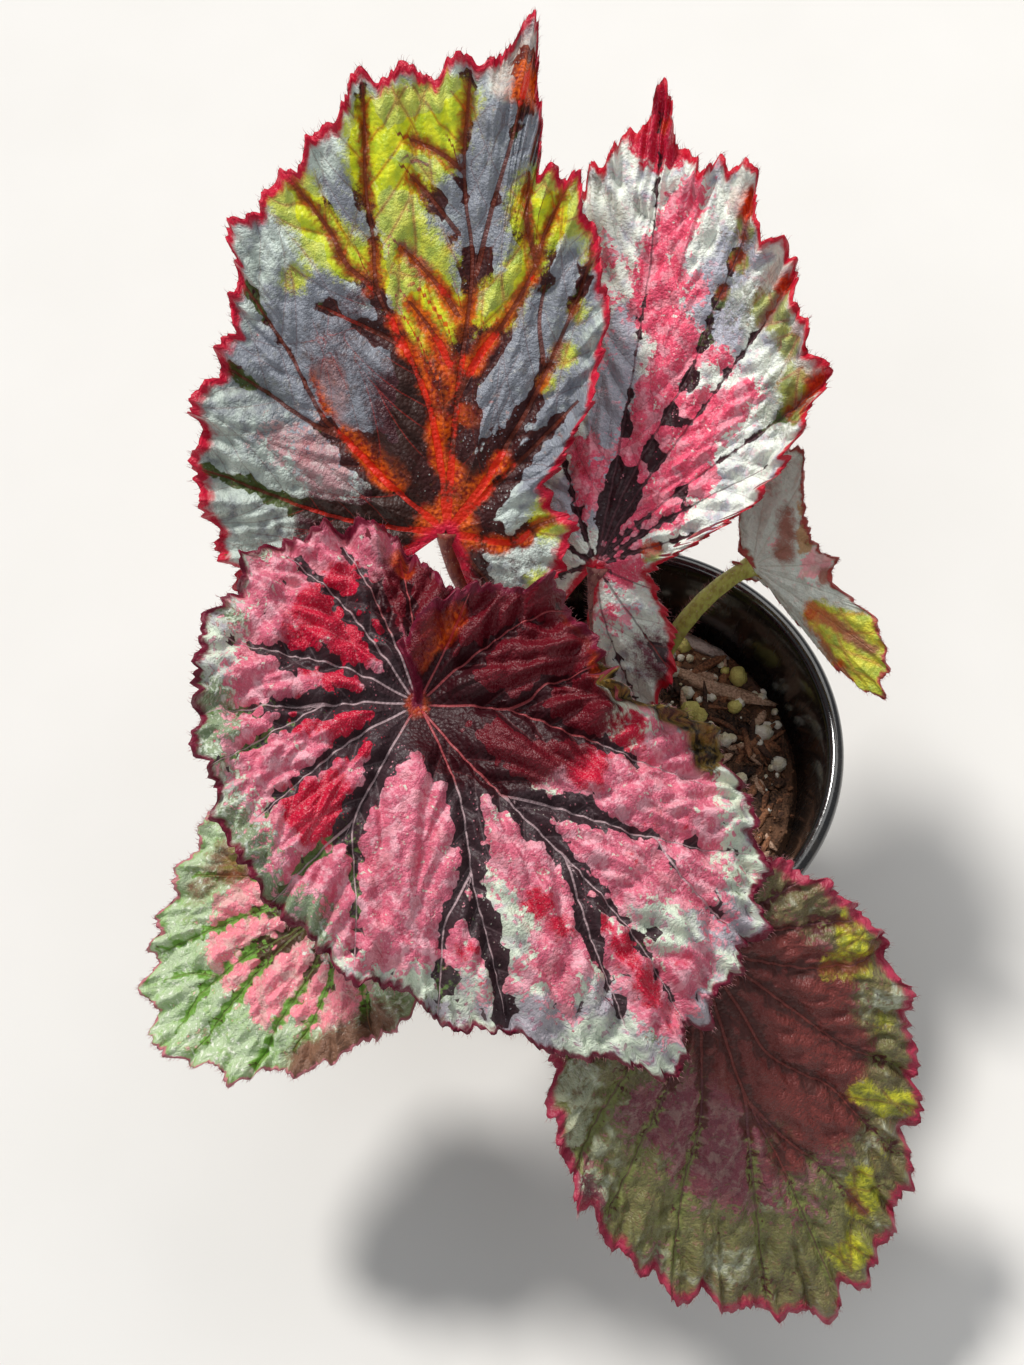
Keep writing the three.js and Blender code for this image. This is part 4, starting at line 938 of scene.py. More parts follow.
def bladeGrid(leaf):        # every value that the mesh and the paint need, on a grid of places and shares
    draw = np.random.default_rng(leaf["seed"])
    look = leaf["look"]
    columns = int(blade["columns"] * gridDetail)
    rings = int(blade["rings"] * gridDetail)
    places, margin = marginPlaces(leaf, columns + 1)
    shares = np.concatenate([[blade["innerShare"]], (np.arange(1, rings + 1) / rings) ** blade["ringPower"]])
    place, share = np.meshgrid(places, shares, indexing="ij")
    marginRun = np.repeat(margin[:, None], len(shares), 1)
    angle, reach, height = bladeShape(leaf, place, share)
    flat = polar(angle, reach)

    lines = [(curve(vein), np.mean([corner[0] for corner in vein])) for vein in leaf["veins"]]
    mainFar, mainRun, mainHand = nearest(flat, angle, lines, blade["mainLimit"])
    branches = sideVeins(leaf, lines, draw)
    sideFar, sideHand = nearest(flat, angle, branches, blade["sideLimit"])[::2]
    marginReach = reach[:, -1:]
    edgeFar = marginReach - reach
    for edge in (0, -1):
        edgeLine = flat[edge, ::4]
        lineFar = farFrom(flat, angle, edgeLine, angle[edge, 0], blade["mainLimit"])[0]
        edgeFar = np.minimum(edgeFar, lineFar)

    vigour = smoothly(share, 0.02, 0.25)
    pleated = 1 - np.exp(-(mainFar / blade["pleatWidth"]) ** 2)
    height = height + leaf["pleat"] * vigour * pleated * (1 - 0.25 * share)
    creased = 1 - np.exp(-(sideFar / blade["creaseWidth"]) ** 2)
    height += look["crease"] * vigour * creased * np.exp(-(sideFar / blade["creaseFade"]) ** 2)
    offVein = 1 - np.exp(-(mainFar / blade["creaseWidth"]) ** 2)
    puffy = (0.5 + 0.36 * look["crumple"]) * vigour * offVein
    height += puffy * puffs(flat, blade["puffSize"], leaf["seed"])
    height += look["crumple"] * swells(flat, blade["swellSize"], draw) * smoothly(share, 0.15, 0.9)
    dried = tinted(leaf, "dry", flat, angle) * smoothly(edgeFar, 11, 7)
    height += blade["dryHeight"] * dried * swells(flat, blade["drySize"], draw) * smoothly(share, 0.5, 0.8)
    wave = waves(marginRun, blade["waveLengths"], blade["waveHeights"], draw)
    height += look["ruffle"] * wave * smoothly(share, 0.6, 1.04) ** 1.5
    for curlAngle, spread, start, lift, tuck in leaf["curls"]:
        weight = np.exp(-((angle - curlAngle) / spread) ** 2) * smoothly(share, start, 1.0)
        height = height + lift * weight
        reach = reach - tuck * weight
    sway = waves(marginRun, blade["swayLengths"], blade["swayHeights"], draw)
    teeth = np.abs(np.sin(marginRun * np.pi / blade["toothGap"] + sway * 2)) ** 1.4 * (0.75 + 0.5 * sway)
    fineTeeth = np.abs(np.sin(marginRun * np.pi / blade["fineToothGap"] + sway * 5))
    fineTeeth = fineTeeth * blade["fineToothHeight"]
    reach = reach + look["tooth"] * (teeth + fineTeeth - 0.5) * smoothly(share, 0.93, 1.0)
    inAndOut = waves(marginRun, blade["reachLengths"], blade["reachHeights"], draw)
    reach = reach + look["ruffle"] * inAndOut * smoothly(share, 0.8, 1.0)
    bent = polar(angle, reach)
    upper = np.concatenate([bent, height[..., None]], -1)
    smoothAngle, smoothReach, smoothHeight = bladeShape(leaf, place, share)
    base = np.concatenate([polar(smoothAngle, smoothReach), smoothHeight[..., None]], -1)
    normal = surfaceNormals(base)
    normal *= np.sign(normal[..., 2:])
    ribWidth = 1.1 - 0.6 * mainRun
    rib = blade["ribHeight"] * (1 - 0.75 * mainRun) * np.exp(-(mainFar / ribWidth) ** 2)
    rib += blade["sideRibHeight"] * np.exp(-(sideFar / blade["sideRibWidth"]) ** 2)
    lower = upper - normal * (blade["thickness"] + rib)[..., None]
    values = {"mainFar": mainFar, "mainRun": mainRun, "mainSide": mainFar * mainHand, "sideFar": sideFar,
              "sideSide": sideFar * sideHand, "edgeFar": edgeFar, "share": share}
    for tint in leaf["tints"]:
        values["tint" + tint] = tinted(leaf, tint, flat, angle)
    return upper, lower, angle, reach, flat, values


def gridFaces(columns, shares, total):        # the two faces of a blade and the edges that close it
    index = 1 + np.arange(columns * shares).reshape(columns, shares)
    low = index + total
    upperFaces = quads(index[:-1, :-1], index[:-1, 1:], index[1:, 1:], index[1:, :-1])
    lowerFaces = quads(low[:-1, :-1], low[1:, :-1], low[1:, 1:], low[:-1, 1:])
    upperFan = [[0, index[i, 0], index[i + 1, 0]] for i in range(columns - 1)]
    lowerFan = [[total, low[i + 1, 0], low[i, 0]] for i in range(columns - 1)]
    edge = quads(index[:-1, -1], low[:-1, -1], low[1:, -1], index[1:, -1])
    edge += quads(index[0, :-1], low[0, :-1], low[0, 1:], index[0, 1:])
    edge += quads(index[-1, 1:], low[-1, 1:], low[-1, :-1], index[-1, :-1])
    edge += [[0, total, int(low[0, 0]), int(index[0, 0])], [0, int(index[-1, 0]), int(low[-1, 0]), total]]
    return upperFaces + upperFan, lowerFaces + lowerFan, edge


def leafFace(name, leaf):        # the upper face: pink, silver and green patches on a dark ground
    look = leaf["look"]
    material = newMaterial(name + "Face", Specular_IOR_Level=0.34, Emission_Strength=look["shine"])
    wire = Wire(material.node_tree)
    read = wire.attribute
    flat = wire.attribute("flat", "Vector")
    mainFar, mainRun, sideFar, edgeFar = (read(n) for n in ("mainFar", "mainRun", "sideFar", "edgeFar"))
    mainSide, sideSide = (read(n).maths("ABSOLUTE", read(n)) for n in ("mainSide", "sideSide"))
    share = read("share")
    broad = noise(flat, 0.09, 2.0)
    middling = noise(flat, 0.3, 2.0)
    fine = noise(flat, 0.9, 3.0)
    grain = noise(flat, 2.6, 2.0)
    scallop = cells(flat, 0.42)
    islands = scallop.also("Color")
    small = cells(flat, 1.1)
    pores = cells(flat, 2.4)

    # where the patches lie: off the main and side veins, with scalloped edges
    rooted, tipped = look["band"]
    band = (rooted + (tipped - rooted) * share) * (0.3 + 1.4 * rise(broad, 0.3, 0.7))
    band = band + (read("tintbare") - read("tintfull")) * look["bareness"]
    notch = (1 - rise(sideFar, 0.15, 1.4)) * look["notch"] * (1 - 0.6 * share)
    bead = (0.5 - scallop) * (0.4 + 1.5 * islands)
    jag = (bead - 0.12) * look["ragged"] * 1.7 + (0.4 - small) * 0.5
    sideRoot, sideTip = look["sideBand"]
    sideBand = sideRoot + (sideTip - sideRoot) * share + (broad - 0.5) * 1.2
    gap = least(mainFar - band - notch, (sideFar - sideBand) * 1.2) + jag * 0.7
    patch = rise(gap, -look["blur"], look["blur"])
    nearEdge = rise(edgeFar + (scallop - 0.4) * 3.0, 0.6, 2.6)
    patch = patch * (0.4 + 0.6 * nearEdge)

    def soft(attribute, spread=0.5, crisp=1.0):        # a tint whose edge is broken up by the cells
        mottle = ((fine - 0.5) * 1.5 + (middling - 0.5) * 0.9) * crisp
        ragged = (bead - 0.2) * spread + mottle + (grain - 0.5) * 0.4
        half = 0.27 - 0.13 * crisp
        return rise(read(attribute) + ragged, 0.5 - half, 0.5 + half)

    # painted shade: a dark wine red over the blade's shaded parts, partly the leaf's own colour, with fewer
    # specks and dots there
    wineAndShadeZone = soft("tintwineAndShade", 0.15, 0.3)
    greyness = rise(middling * 0.6 + broad * 0.4 + read("tintgrey") * 0.5, 0.44, 0.68)
    light = mix(greyness, look["silver"], look["silverToo"])
    island = rise(fine + (bead - 0.2) * 0.35 + (middling - 0.5) * 0.5, 0.53, 0.6)
    light = mix(island * look["islands"], light, look["islandTone"])
    light = mix(rise(read("tintgreen") + (fine - 0.5) * 1.8, 0.62, 0.9) * look["moss"], light, look["green"])
    # rose patches, paler in specks that are partly painted highlight, deeper crimson in broad places
    rosy = mix(rise(middling + (fine - 0.5) * 0.4, 0.46, 0.62) * 0.45, look["pink"], look["speckAndHighlight"])
    rosy = mix(rise(broad + (middling - 0.5) * 0.8, 0.54, 0.72) * 0.35, rosy, look["crimson"])
    light = mix(soft("tintpink", 0.45), light, rosy)
    light = mix(soft("tintcrimson", 0.45, 0.6), light, look["crimson"])
    light = mix(wineAndShadeZone, light, look["wineAndShade"])
    # pale specks: painted glints of highlight, partly the leaf's own silvery flecks, with fewer under the
    # painted shade
    speckAndHighlight = rise(grain + 0.25 * fine, 0.68, 0.88) * (1 - wineAndShadeZone * 0.8)
    light = mix(speckAndHighlight * look["glitter"], light, look["speckAndHighlight"])
    light = mix((1 - rise(pores, 0.1, 0.3)) * 0.14, light, look["ground"])

    # painted as if light shone through: yellow-green between the veins, orange and red next to them
    glow = soft("tintglow", 0.2, 0.4)
    backlitOrange = rise(read("tintbacklitOrange") + (fine - 0.5) * 0.9 + (bead - 0.2) * 0.2, 0.3, 0.75)
    lit = mix(rise(middling + 0.3 * fine, 0.45, 0.85), look["glow"], look["glowToo"])
    # the orange to dark red of painted light shining through the blade, strongest beside the veins
    backlitOranges = mix(rise(fine + 0.4 * middling, 0.5, 0.9), look["backlitOrange"], look["backlitOrangeToo"])
    besideVein = 1 - rise(mainSide + (fine - 0.5) * 2.2 + (bead - 0.2) * 1.2 + (share - 0.55) * 1.6, 0.7, 2.7)
    besideVein = besideVein * (1 - rise(mainFar, 3.4, 4.6))
    lit = mix(besideVein * 0.95, lit, mix(rise(share, 0.45, 0.8) * 0.65, backlitOranges, look["wineAndShadeGround"]))
    lit = mix((1 - rise(sideSide, 0.1, 0.7)) * (1 - rise(sideFar, 0.8, 1.4)) * 0.45, lit, backlitOranges)
    alongVein = (1 - rise(mainSide + (fine - 0.5) * 2.0, 1.2, 4.5)) * (1 - rise(mainFar, 4.6, 6.4))
    backlitOrange = backlitOrange * (0.25 + 0.75 * alongVein)
    light = mix(glow * look["through"], light, lit)
    light = mix(backlitOrange * look["through"] * 1.3, light, backlitOranges)
    dark = mix(soft("tintgreen", 0.5), look["ground"], look["green"])
    # the dark ground also turns dark wine red under the painted shade
    dark = mix(wineAndShadeZone, dark, look["wineAndShadeGround"])
    dark = mix(glow, dark, lit)
    dark = mix(backlitOrange, dark, backlitOranges)
    colour = mix(patch, dark, light)

    # dots of the patch colour on the ground, fine mottling, the vein's own line and the red margin
    dots = rise(0.24 - small, 0.0, 0.06) * rise(fine, 0.42, 0.55) * (1 - patch) * rise(mainFar, 0.7, 1.4)
    dots = dots * (1 - wineAndShadeZone * 0.8)
    colour = mix(dots * 0.75, colour, light)
    wide, narrow = look["veinWidth"]
    veinHalf = wide + (narrow - wide) * mainRun + backlitOrange * wide * 0.5
    veinLine = (1 - rise(mainSide - veinHalf, -0.08, 0.12)) * (1 - rise(mainFar, 0.9, 1.3))
    # veins redder under the painted shade and under the painted light shining through
    veinColour = mix(wineAndShadeZone * 0.85, look["vein"], look["backlitAndShadedVein"])
    veinColour = mix(backlitOrange * 0.9, veinColour, look["backlitAndShadedVein"])
    colour = mix(veinLine * look["veinLine"], colour, veinColour)
    sideLine = (1 - rise(sideSide, 0.06, 0.24)) * (1 - rise(sideFar, 0.8, 1.2))
    colour = mix(sideLine * look["sideLine"], colour, veinColour)
    rimFar = edgeFar + (fine - 0.5) * 2.4 + (scallop - 0.4) * 1.4
    rim = 1 - rise(rimFar, look["rim"] * 0.5, look["rim"] * 1.25)
    colour = mix(rim, colour, look["margin"])
    dryness = rise(read("tintdry") + (fine - 0.5) * 0.6, 0.35, 0.6) * (1 - rise(edgeFar, 7.0, 11.0))
    crust = mix(rise(fine * 0.7 + middling * 0.5, 0.5, 0.7), tone(34, 24, 12), tone(112, 88, 36))
    colour = mix(dryness, colour, crust)
    shading = 0.74 + 0.34 * fine + 0.18 * grain
    grey = wire.node("ShaderNodeCombineColor", {}, {"Red": shading, "Green": shading, "Blue": shading})
    colour = times(colour, grey)

    # a papery glitter on the patches and a satin ground
    rough = 0.46 - 0.06 * patch - 0.14 * speckAndHighlight * patch + 0.16 * (grain - 0.5)
    height = (0.5 - small) * 0.8 + (0.5 - pores) * 0.45 * patch + grain * 0.25 - veinLine * 0.5
    # painted glow: emission where light is painted as shining through, so these parts glow by themselves
    glint = mix(most(glow, backlitOrange) * rise(edgeFar, 0.4, 2.0) * (1 - 0.6 * patch), (0, 0, 0, 1), colour)
    feed(material, Base_Color=colour, Roughness=rough, Emission_Color=glint,
         Normal=bumped(height, 0.0005, 0.7))
    return material


def leafUnder(name, leaf):        # the lower face: dull red or green, with raised paler veins
    look = leaf["look"]
    material = newMaterial(name + "Under", Specular_IOR_Level=0.4)
    wire = Wire(material.node_tree)
    read = wire.attribute
    flat = wire.attribute("flat", "Vector")
    mainFar, mainRun, sideFar, edgeFar = (read(n) for n in ("mainFar", "mainRun", "sideFar", "edgeFar"))
    fine = noise(flat, 0.5, 3.0)
    cell = cells(flat, 0.42)
    base = mix(rise(read("tintgreen") + fine - 0.4, 0.3, 0.9), look["under"], look["green"])
    # painted light shining through in yellow-green, then dark wine red in cells, partly the leaf's own colour
    # and partly painted shade
    base = mix(rise(read("tintglow") + fine - 0.5, 0.4, 0.8) * 0.6, base, look["glow"])
    base = mix(rise(cell, 0.1, 0.6) * 0.35, base, look["wineAndShade"])
    lines = most(1 - rise(mainFar, 0.5, 1.7 - 0.9 * mainRun), (1 - rise(sideFar, 0.15, 0.6)) * 0.7)
    base = mix(lines, base, look["underVein"])
    base = mix(1 - rise(edgeFar + (fine - 0.5) * 2, 0.6, 2.2), base, look["margin"])
    height = noise(flat, 1.6, 3.0) * 0.6 + rise(cell, 0.0, 0.5)
    feed(material, Base_Color=base, Roughness=0.5 + 0.25 * fine, Normal=bumped(height, 0.0004, 0.6))
    return material


def leafPiece(name, leaf):
    upper, lower, angle, reach, flat, values = bladeGrid(leaf)
    columns, shares = upper.shape[:2]
    total = 1 + columns * shares
    turn, joint = leafFrame(leaf), np.array(leaf["joint"], float)
    middleUp = upper[:, 0].mean(0)
    middleDown = lower[:, 0].mean(0)
    own = np.concatenate([[middleUp], upper.reshape(-1, 3), [middleDown], lower.reshape(-1, 3)])
    points = own @ turn.T + joint
    upperFaces, lowerFaces, edge = gridFaces(columns, shares, total)
    faces = upperFaces + lowerFaces + edge
    materials = [leafFace(name, leaf), leafUnder(name, leaf)]
    piece = newPiece(name, points, faces, leaf["node"], materials)
    mesh = piece.data
    under = np.zeros(len(faces), np.int32)
    under[len(upperFaces):len(upperFaces) + len(lowerFaces)] = 1
    mesh.polygons.foreach_set("material_index", under)
    for key, grid in values.items():
        both = np.concatenate([[grid[0, 0]], grid.ravel()] * 2)
        addValues(mesh, key, both)
    flatBoth = np.concatenate([np.zeros((1, 2)), flat.reshape(-1, 2)] * 2)
    flatBoth = np.concatenate([flatBoth, np.zeros((len(flatBoth), 1))], 1)
    mesh.attributes.new("flat", "FLOAT_VECTOR", "POINT").data.foreach_set(
        "vector", flatBoth.astype(np.float32).ravel())
    addUnwrap(mesh, angle, reach, total, len(upperFaces), len(lowerFaces))
    return upper @ turn.T + joint


unwrap = {
    "widest": 350,        # degrees that a blade may span
    "size": (0.48, 0.97), "corner": (0.008, 0.012), "lowerShift": (0.5, 0),
    "edgeBand": 0.8,        # mm, for the thin edge
}


def addUnwrap(mesh, angle, reach, total, upperCount, lowerCount):        # upper face left, lower face right
    first, last = angle.min(), angle.max()
    squeeze = min(1.0, unwrap["widest"] / (last - first))
    spread = polar((angle - (first + last) / 2) * squeeze, reach).reshape(-1, 2)
    spread = np.concatenate([[(0, 0)], spread])
    low, high = spread.min(0), spread.max(0)
    scale = min(unwrap["size"][0] / (high - low)[0], unwrap["size"][1] / (high - low)[1])
    flatUp = (spread - low) * scale + unwrap["corner"]
    flatDown = flatUp + unwrap["lowerShift"]
    stretch = 1 + unwrap["edgeBand"] / np.maximum(np.linalg.norm(spread, axis=1), 1)
    outside = (spread * stretch[:, None] - low) * scale + unwrap["corner"]
    layer = mesh.uv_layers.new(name="OFBake")
    corners = np.zeros(len(mesh.loops), np.int32)
    mesh.loops.foreach_get("vertex_index", corners)
    starts = np.zeros(len(mesh.polygons), np.int32)
    mesh.polygons.foreach_get("loop_start", starts)
    isLow = corners >= total
    local = np.where(isLow, corners - total, corners)
    edgeStart = starts[upperCount + lowerCount]
    onEdge = np.arange(len(corners)) >= edgeStart
    uv = np.where(isLow[:, None], flatDown[local], flatUp[local])
    uv = np.where((onEdge & isLow)[:, None], outside[local], uv)
    layer.data.foreach_set("uv", uv.astype(np.float32).ravel())


# ---------- stalks and hairs
def stalkLine(leaf, count):
    foot = np.array([*leaf["foot"], stalk["footHeight"]], float)
    above = foot + (0, 0, stalk["rise"])
    lead = np.array(leaf["joint"], float) + leaf["lead"]
    under = np.array(leaf["joint"], float) + leafFrame(leaf) @ (0, 0, -blade["thickness"] - 0.9)
    t = np.linspace(0, 1, count)[:, None]
    return foot * (1 - t)**3 + 3 * above * t * (1 - t)**2 + 3 * lead * t**2 * (1 - t) + under * t**3


stalkColours = {
    "leafFront": (tone(138, 62, 58), tone(96, 28, 36)), "leafBacklit": (tone(150, 70, 50), tone(120, 34, 34)),
    "leafPink": (tone(150, 92, 84), tone(104, 40, 46)), "leafHanging": (tone(140, 84, 62), tone(98, 38, 38)),
    "leafLow": (tone(132, 112, 64), tone(110, 54, 46)), "leafYoung": (tone(186, 190, 92), tone(160, 150, 70)),
}


def stalkMaterial(name):
    base, blotch = stalkColours[name]
    material = newMaterial(name + "Stalk", Specular_IOR_Level=0.5)
    place = placeWire(material)
    streak = noise(scaled(place, (1, 1, 0.25)), 0.9, 3.0)
    flecks = cells(scaled(place, (1, 1, 0.4)), 1.1)
    colour = mix(rise(streak, 0.4, 0.66), base, blotch)
    colour = mix((1 - rise(flecks, 0.08, 0.22)) * 0.6, colour, tone(214, 190, 160))
    feed(material, Base_Color=colour, Roughness=0.42 + 0.2 * streak, Normal=bumped(streak, 0.0003, 0.5))
    return material


def hairs(roots, directions, lengths, radius):        # thin curved spikes, as points and faces
    roots, directions = np.asarray(roots), np.asarray(directions)
    directions = directions / np.linalg.norm(directions, axis=1)[:, None]
    side = np.cross(directions, (0.21, 0.37, 0.9))
    side /= np.linalg.norm(side, axis=1)[:, None]
    other = np.cross(directions, side)
    count = len(roots)
    length = np.asarray(lengths)[:, None]
    middle = roots + directions * length * 0.55
    tip = roots + directions * length + side * length * 0.22
    ring = []
    for centre, size in ((roots - directions * 0.15, radius), (middle, radius * 0.6)):
        for turn in (0, 2.094, 4.189):
            ring.append(centre + size * (math.cos(turn) * side + math.sin(turn) * other))
    points = np.stack(ring + [tip], 1).reshape(-1, 3)
    pattern = np.array([(0, 1, 4, 3), (1, 2, 5, 4), (2, 0, 3, 5)])
    tips = np.array([(3, 4, 6), (4, 5, 6), (5, 3, 6), (0, 2, 1)])
    starts = np.arange(count)[:, None, None] * 7
    return points, (pattern + starts).reshape(-1, 4).tolist() + (tips + starts).reshape(-1, 3).tolist()


def joined(parts):
    points, faces, start = [], [], 0
    for partPoints, partFaces in parts:
        points.append(np.asarray(partPoints))
        faces += [[corner + start for corner in face] for face in partFaces]
        start += len(partPoints)
    return np.concatenate(points), faces


def stalkPiece(name, leaf):
    line = stalkLine(leaf, stalk["rings"])
    share = np.linspace(0, 1, stalk["rings"])
    radii = stalk["footRadius"] + (stalk["topRadius"] - stalk["footRadius"]) * share
    radii = radii * (1 + 0.35 * smoothly(share, 0.93, 1.0) + 0.25 * (1 - smoothly(share, 0.1, 0.25)))
    radii = radii * (1 + 0.02 * np.sin(share * 60 + leaf["seed"]))
    points, faces = tube(line, radii, stalk["sides"])
    newPiece(name + "Stalk", points, faces, leaf["node"], [stalkMaterial(name)])
    return line, radii


hair = {"perMargin": 900, "perStalk": 700, "marginRadius": 0.055, "stalkRadius": 0.05}


def hairPiece(name, leaf, upper, line, radii):
    draw = np.random.default_rng(leaf["seed"] + 100)
    margin = upper[:, -1]
    outward = margin - upper[:, -3]
    size = leaf["look"]["tooth"]
    picked = draw.choice(len(margin), min(len(margin), int(hair["perMargin"] * gridDetail)), replace=True)
    spread = draw.normal(0, 0.35, (len(picked), 3))
    unit = outward[picked] / np.linalg.norm(outward[picked], axis=1)[:, None]
    lengths = draw.uniform(0.5, 1.5, len(picked)) * size
    marginHairs = hairs(margin[picked], unit + spread, lengths, hair["marginRadius"])
    at = draw.uniform(0.22, 0.97, hair["perStalk"]) * (len(line) - 1)
    index = at.astype(int)
    run = np.gradient(line, axis=0)[index]
    run /= np.linalg.norm(run, axis=1)[:, None]
    around = np.cross(run, draw.normal(0, 1, (len(at), 3)))
    around /= np.linalg.norm(around, axis=1)[:, None]
    roots = line[index] + around * (radii[index][:, None] - hair["stalkRadius"])
    stalkHairs = hairs(roots, around + 0.3 * run, draw.uniform(0.7, 1.7, len(at)), hair["stalkRadius"])
    points, faces = joined([marginHairs, stalkHairs])
    newPiece(name + "Hairs", points, faces, leaf["node"], [hairMaterial])


hairMaterial = newMaterial("hair", Roughness=0.5)
hairPlace = placeWire(hairMaterial)
feed(hairMaterial, Base_Color=mix(noise(hairPlace, 0.3), tone(196, 150, 150), tone(150, 60, 70)))

for leafName, leafData in leaves.items():
    surface = leafPiece(leafName, leafData)
    stalkRun, stalkRadii = stalkPiece(leafName, leafData)
    hairPiece(leafName, leafData, surface, stalkRun, stalkRadii)
    print(leafName, "grown")


# ---------- the rhizome
rhizome = {
    "radius": 5.5, "knuckle": 0.45, "scars": 6, "endRadius": 0.55,
    "steps": 24, "sides": 28, "roughness": 0.1, "seed": 5,
    "route": [(-27, -6, 67), (-13, -3, 69), (0, 4, 70), (8, 16, 70)],
}


def rhizomeMaterial():
    material = newMaterial("rhizomeSkin", Specular_IOR_Level=0.35)
    place = placeWire(material)
    fibre = noise(scaled(place, (0.5, 1, 1)), 1.1, 4.0)
    scar = cells(place, 0.16)
    colour = mix(rise(fibre, 0.35, 0.7), tone(74, 44, 30), tone(142, 98, 66))
    colour = mix((1 - rise(scar, 0.12, 0.3)) * 0.6, colour, tone(168, 130, 92))
    feed(material, Base_Color=colour, Roughness=0.7 + 0.2 * fibre, Normal=bumped(fibre, 0.0012, 0.8))
    return material


def rhizomePiece():
    route = np.array(rhizome["route"], float)
    line = smoothLine(route, [rhizome["steps"]] * (len(route) - 1))
    share = np.linspace(0, 1, len(line))
    swell = np.sqrt(np.clip(np.sin(np.pi * (0.03 + 0.94 * share)), 0, 1))
    knuckles = 2 * rhizome["knuckle"] * np.cos(2 * np.pi * rhizome["scars"] * share)
    radii = (rhizome["radius"] + knuckles) * (rhizome["endRadius"] + (1 - rhizome["endRadius"]) * swell)
    points, faces = tube(line, radii, rhizome["sides"])
    draw = np.random.default_rng(rhizome["seed"])
    points = points + draw.normal(0, rhizome["roughness"], points.shape)
    newPiece("rhizome", points, faces, "rhizome", [rhizomeMaterial()])


rhizomePiece()
print("rhizome laid")


# ---------- the pot
pot = {
    "rimRadius": 57, "baseRadius": 40, "height": 95, "wall": 1.6, "floor": 2, "lipRadius": 2.2,
    "collarHeight": 11, "collarStep": 1.4, "drainHoles": 8, "drainHoleRadius": 4, "drainCircle": 30,
    "sides": 176, "wallSteps": 14, "drillSides": 32,
}


def insideRadius(height):
    foot = pot["baseRadius"] - pot["wall"]
    rim = pot["rimRadius"] - 2 * pot["lipRadius"]
    return foot + (rim - foot) * height / pot["height"]


def potProfile():        # from the base's middle, up the outer wall, over the lip and down to the floor
    collarFoot = pot["height"] - pot["collarHeight"]

    def outside(height):
        return insideRadius(height) + pot["wall"]

    lip = []
    for degrees in range(-70, 185, 15):
        turn = math.radians(degrees)
        lip.append((pot["rimRadius"] - pot["lipRadius"] + pot["lipRadius"] * math.cos(turn),
                    pot["height"] - pot["lipRadius"] + pot["lipRadius"] * math.sin(turn)))
    step = outside(collarFoot) + pot["collarStep"]
    wallSteps = [(outside(h), h) for h in np.linspace(1.6, collarFoot - 0.4, pot["wallSteps"])]
    inner = np.linspace(pot["height"] - 4, pot["floor"] + 1, pot["wallSteps"])
    innerSteps = [(insideRadius(h), h) for h in inner]
    return ([(0, 0), (pot["baseRadius"] - 1.4, 0), (pot["baseRadius"] - 0.4, 0.4)] + wallSteps
            + [(outside(collarFoot), collarFoot), (step - 0.3, collarFoot + 0.25), (step, collarFoot + 0.8),
               (step + 0.1, pot["height"] - 2 * pot["lipRadius"] - 0.3)]
            + lip + innerSteps + [(insideRadius(pot["floor"]) - 0.8, pot["floor"]), (0, pot["floor"])])


def turned(profile, sides):        # a profile from axis to axis, turned about Z
    ring = np.array(profile[1:-1], float)
    turn = np.linspace(0, 2 * np.pi, sides, endpoint=False)
    points = np.stack([np.outer(ring[:, 0], np.cos(turn)), np.outer(ring[:, 0], np.sin(turn)),
                       np.repeat(ring[:, 1:], sides, 1)], -1).reshape(-1, 3)
    index = np.arange(len(ring) * sides).reshape(len(ring), sides)
    after = np.roll(index, -1, 1)
    faces = sleeve(index)
    points = np.concatenate([points, [(0, 0, profile[0][1]), (0, 0, profile[-1][1])]])
    bottom, top = len(points) - 2, len(points) - 1
    faces += [[bottom, int(after[0, i]), int(index[0, i])] for i in range(sides)]
    faces += [[top, int(index[-1, i]), int(after[-1, i])] for i in range(sides)]
    return points, faces


def potMaterial():
    material = newMaterial("potPlastic", Specular_IOR_Level=0.6, Coat_Weight=0.6, Coat_Roughness=0.09)
    place = placeWire(material)
    height = place.node("ShaderNodeSeparateXYZ", {}, {"Vector": place}, "Z")
    dust = noise(place, 0.12, 5.0)
    scuff = noise(scaled(place, (1, 1, 0.08)), 0.8, 3.0)
    low = 1 - rise(height, 2, 26)
    colour = mix(rise(dust, 0.5, 0.75) * (0.12 + 0.4 * low), tone(19, 18, 19), tone(60, 54, 47))
    # a faint brown mottle all over the pot, following the dust noise
    brownMottle = rise(dust, 0.5, 0.75) * 0.1
    feed(material, Base_Color=mix(brownMottle, colour, tone(84, 74, 60)),
         Roughness=0.16 + 0.2 * rise(scuff, 0.45, 0.75) + 0.3 * low * dust,
         Normal=bumped(scuff, 0.00004, 0.5))
    return material


def potPiece():
    points, faces = turned(potProfile(), pot["sides"])
    drills = []
    for i in range(pot["drainHoles"]):
        turn = 2 * math.pi * i / pot["drainHoles"]
        centre = np.array((math.cos(turn) * pot["drainCircle"], math.sin(turn) * pot["drainCircle"], 0))
        drills.append(tube([centre + (0, 0, z) for z in (-3, 0, 3, 6)], [pot["drainHoleRadius"]] * 4,
                           pot["drillSides"]))
    piece = newPiece("pot", points, faces, "pot", [potMaterial()])
    drillPoints, drillFaces = joined(drills)
    drillMesh = bpy.data.meshes.new("drill")
    drillMesh.from_pydata(drillPoints * mm, [], drillFaces)
    drill = bpy.data.objects.new("drill", drillMesh)
    scene.collection.objects.link(drill)
    cut = piece.modifiers.new("drainHoles", "BOOLEAN")
    cut.operation, cut.solver, cut.object = "DIFFERENCE", "EXACT", drill
    cutMesh = bpy.data.meshes.new_from_object(piece.evaluated_get(bpy.context.evaluated_depsgraph_get()))
    piece.modifiers.clear()
    piece.data = cutMesh
    bpy.data.objects.remove(drill)
    bpy.data.meshes.remove(drillMesh)


potPiece()
print("pot moulded")


